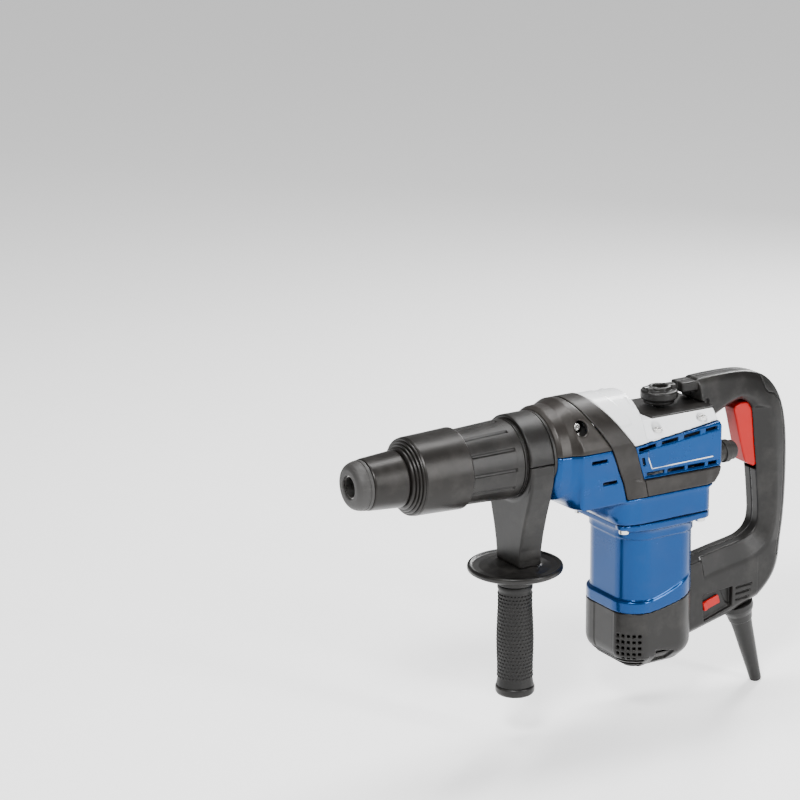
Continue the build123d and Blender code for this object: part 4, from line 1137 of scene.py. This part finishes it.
flange_screw = hexed("flange_screw_part", 4.6, 4.0, 2.3, 2.0, 12.0)
flange_screw.data.transform(Matrix.Rotation(math.pi, 4, "X"))
cover_screw = hexed("cover_screw_part", 4.2, 3.6, 2.2, 1.8, 4.0)
hood_pin = hexed("hood_pin_part", 3.6, 2.6, 1.8, 1.6, 4.0)

flange_spots = points_at("flange_spots", [(x, y, -74.2) for x, y in SCREWS[:2]] + [(x, y, -76.2) for x, y in SCREWS[2:]])
cover_spots = points_at("cover_spots", [(x, y, z) for (x, y), z in zip(POCKETS, SEATS)])
screws = baked("flange_screws", flange_spots, on_points,
               {"Part": flange_screw, "Size": 1.0, "Finish": finishes["screw_steel"]})
show(screws, "housing", "screw_steel", "housing_screws")
covers = baked("cover_screws", cover_spots, on_points,
               {"Part": cover_screw, "Size": 1.0, "Finish": finishes["screw_steel"]})
show(covers, "housing", "screw_steel")
pins = []
for side in (-1, 1):
    pin = bpy.data.objects.new(f"hood_pin_{side}", hood_pin.data.copy())
    bpy.context.scene.collection.objects.link(pin)
    pin.data.transform(Matrix.Translation((0.211, side * 0.0265, 0.0265)) @ Matrix.Rotation(-side * math.pi / 2, 4, "X"))
    pins.append(pin)
with bpy.context.temp_override(active_object=pins[0], selected_editable_objects=pins, selected_objects=pins):
    bpy.ops.object.join()
pins[0].name = pins[0].data.name = "hood_pins"
show(pins[0], "housing", "screw_steel")
field = points_at("grip_studs", [(0, 0, 0)])
stud_piece = baked("grip_studs", field, stud_field, {
    "Around": 28, "Rows": 24, "Bottom": -0.2045, "Top": -0.1270, "Reach": 0.018, "Stud": 0.0011,
    "Sleeve": grip, "Finish": finishes["grip_rubber"]})
show(stud_piece, "grip", "grip_rubber")
for spare in (flange_screw, cover_screw, hood_pin):
    bpy.data.objects.remove(spare)

# %% [markdown]
# ## Chuck spring
# The spring that pushes the sleeve forward is a wire wound on a helix, so a spiral curve swept with a small
# circle draws it. It shortens when the sleeve is pulled back.

# %% Wind the spring
coil, given, result = tree_with("wound_spring", [("Turns", "Float", 6.0), ("Length", "Float", 0.02),
                                                 ("Coil", "Float", 0.02), ("Wire", "Float", 0.001),
                                                 ("Finish", "Material", None)])
spiral = add(coil, "GeometryNodeCurveSpiral", inputs={
    "Resolution": 40, "Rotations": given.outputs["Turns"], "Start Radius": given.outputs["Coil"],
    "End Radius": given.outputs["Coil"], "Height": given.outputs["Length"]})
laid = add(coil, "GeometryNodeTransform", inputs={"Geometry": spiral.outputs[0], "Rotation": (0, math.pi / 2, 0)})
wire = add(coil, "GeometryNodeCurvePrimitiveCircle", inputs={"Resolution": 14, "Radius": given.outputs["Wire"]})
swept = add(coil, "GeometryNodeCurveToMesh", inputs={
    "Curve": laid.outputs[0], "Profile Curve": wire.outputs[0], "Fill Caps": True})
solid = add(coil, "GeometryNodeRealizeInstances", inputs={"Geometry": swept.outputs[0]})
coated = add(coil, "GeometryNodeSetMaterial", inputs={
    "Geometry": solid.outputs[0], "Material": given.outputs["Finish"]})
coil.links.new(coated.outputs[0], result.inputs["Geometry"])

spring_low, spring_high = span("chuck_spring")
WIRE = 1.0
wound = spring_high[0] - spring_low[0] - 2 * WIRE - 0.2
spring = baked("coil_spring", new_piece("coil_spring", [(0, 0, 0)], []), coil, {
    "Turns": 6.0, "Length": wound * MM, "Coil": 19.4 * MM, "Wire": WIRE * MM, "Finish": finishes["spring_steel"]})
spring.data.transform(Matrix.Translation(((spring_low[0] + WIRE + 0.1) * MM, 0, 0)))
show(spring, "spindle", "spring_steel", "chuck_spring")
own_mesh(spring)

# %% [markdown]
# ## Inlays
# A thin pale line frames the side panel in an L, as a decal would. It is a raised strip, set into the panel.

# %% Pale L line
def line_shape(side):
    def shape(x, y, z):
        upright = outline([(276.6, -7.6), (277.6, -7.6), (282.0, -19.2), (281.0, -19.8)])(x, z)
        level = outline([(281.0, -19.8), (282.0, -18.9), (349, -18.4), (349, -19.3)])(x, z)
        return np.maximum(np.minimum(upright, level), slab(side * y, HALF_WIDTH - 0.6, HALF_WIDTH + 0.35))
    return shape


for side, name in ((-1, "left"), (1, "right")):
    y = side * HALF_WIDTH
    line = mould(f"{name}_line", line_shape(side), (276, y - 1, -20.4), (350, y + 1, -7), 0.3)
    show(line, "housing", "white_cover")

# %% [markdown]
# ## Dress every piece
# Each new piece takes the finish of its material slot. The engineering nodes that stay visible, mostly the
# drive inside, keep their meshes and only get the finish that the record names for them.

# %% Apply the finishes
for piece, finish in visible.values():
    piece.data.materials.clear()
    piece.data.materials.append(finishes[finish])

slot_of = {part["node"]: part["material_slot"] for part in frame["record"]["subparts"]}
for node, thing in frame["nodes"].items():
    wanted = finishes[slot_of[node]]
    if not thing.data.materials:
        thing.data.materials.append(wanted)
    for i in range(len(thing.data.materials)):
        thing.data.materials[i] = wanted
print(len(visible), "new pieces and", len(frame["nodes"]), "engineering nodes dressed")

# %% [markdown]
# ## Floor, light and camera
# The tool is shown on a plain pale floor under big soft lights, as in a catalogue. The broad light from the
# upper left draws the long highlights on the blue housing.

# %% Stage
floor_mesh = bpy.data.meshes.new("floor")
reach = 9.0
ground = -0.2685
floor_mesh.from_pydata([(-reach, -reach, ground), (reach, -reach, ground), (reach, reach, ground),
                        (-reach, reach, ground)], [], [(0, 1, 2, 3)])
floor = bpy.data.objects.new("floor", floor_mesh)
bpy.context.scene.collection.objects.link(floor)
paper = Finish("floor_paper")
fibre = paper.noise(60.0, 4.0)
floor_mesh.materials.append(paper.done(paper.blend(fibre, (0.86, 0.86, 0.86), (0.90, 0.90, 0.90)),
                                       (fibre - 0.5) * 0.1 + 0.85, Emission_Color=(1, 1, 1, 1),
                                       Emission_Strength=0.55))

world = bpy.data.worlds.new("studio")
bpy.context.scene.world = world
world.use_nodes = True
world.node_tree.nodes["Background"].inputs["Color"].default_value = (1, 1, 1, 1)
world.node_tree.nodes["Background"].inputs["Strength"].default_value = 0.26


def softbox(name, place, target, size, power):
    light = bpy.data.lights.new(name, "AREA")
    light.shape, light.size, light.size_y, light.energy = "RECTANGLE", size[0], size[1], power
    lamp = bpy.data.objects.new(name, light)
    lamp.location = place
    lamp.rotation_euler = (Vector(target) - Vector(place)).to_track_quat("-Z", "Y").to_euler()
    bpy.context.scene.collection.objects.link(lamp)


middle = (0.24, 0.0, -0.06)
softbox("key", (-1.0, -1.2, 1.6), middle, (0.5, 0.5), 70)
softbox("side_strip", (0.9, -1.5, 0.6), middle, (0.2, 1.2), 26)
softbox("rear_strip", (1.5, 0.9, 0.9), middle, (0.3, 1.2), 30)
softbox("top", (0.3, 0.3, 1.7), middle, (1.6, 0.4), 46)

turn, tip, roll = math.radians(-30.2815), math.radians(15.9726), math.radians(-0.6348)
forward = Vector((-math.sin(turn) * math.cos(tip), math.cos(turn) * math.cos(tip), -math.sin(tip)))
level = forward.cross(Vector((0, 0, 1))).normalized()
above = level.cross(forward)
right = level * math.cos(roll) + above * math.sin(roll)
up = above * math.cos(roll) - level * math.sin(roll)
view = bpy.data.cameras.new("view")
view.lens, view.sensor_width = 116.59, 36.0
view.clip_start, view.clip_end = 0.05, 50.0
camera = bpy.data.objects.new("view", view)
camera.matrix_world = Matrix.Translation((-1.01488, -1.82273, 0.67336)) @ Matrix((right, up, -forward)).transposed().to_4x4()
bpy.context.scene.collection.objects.link(camera)
bpy.context.scene.camera = camera
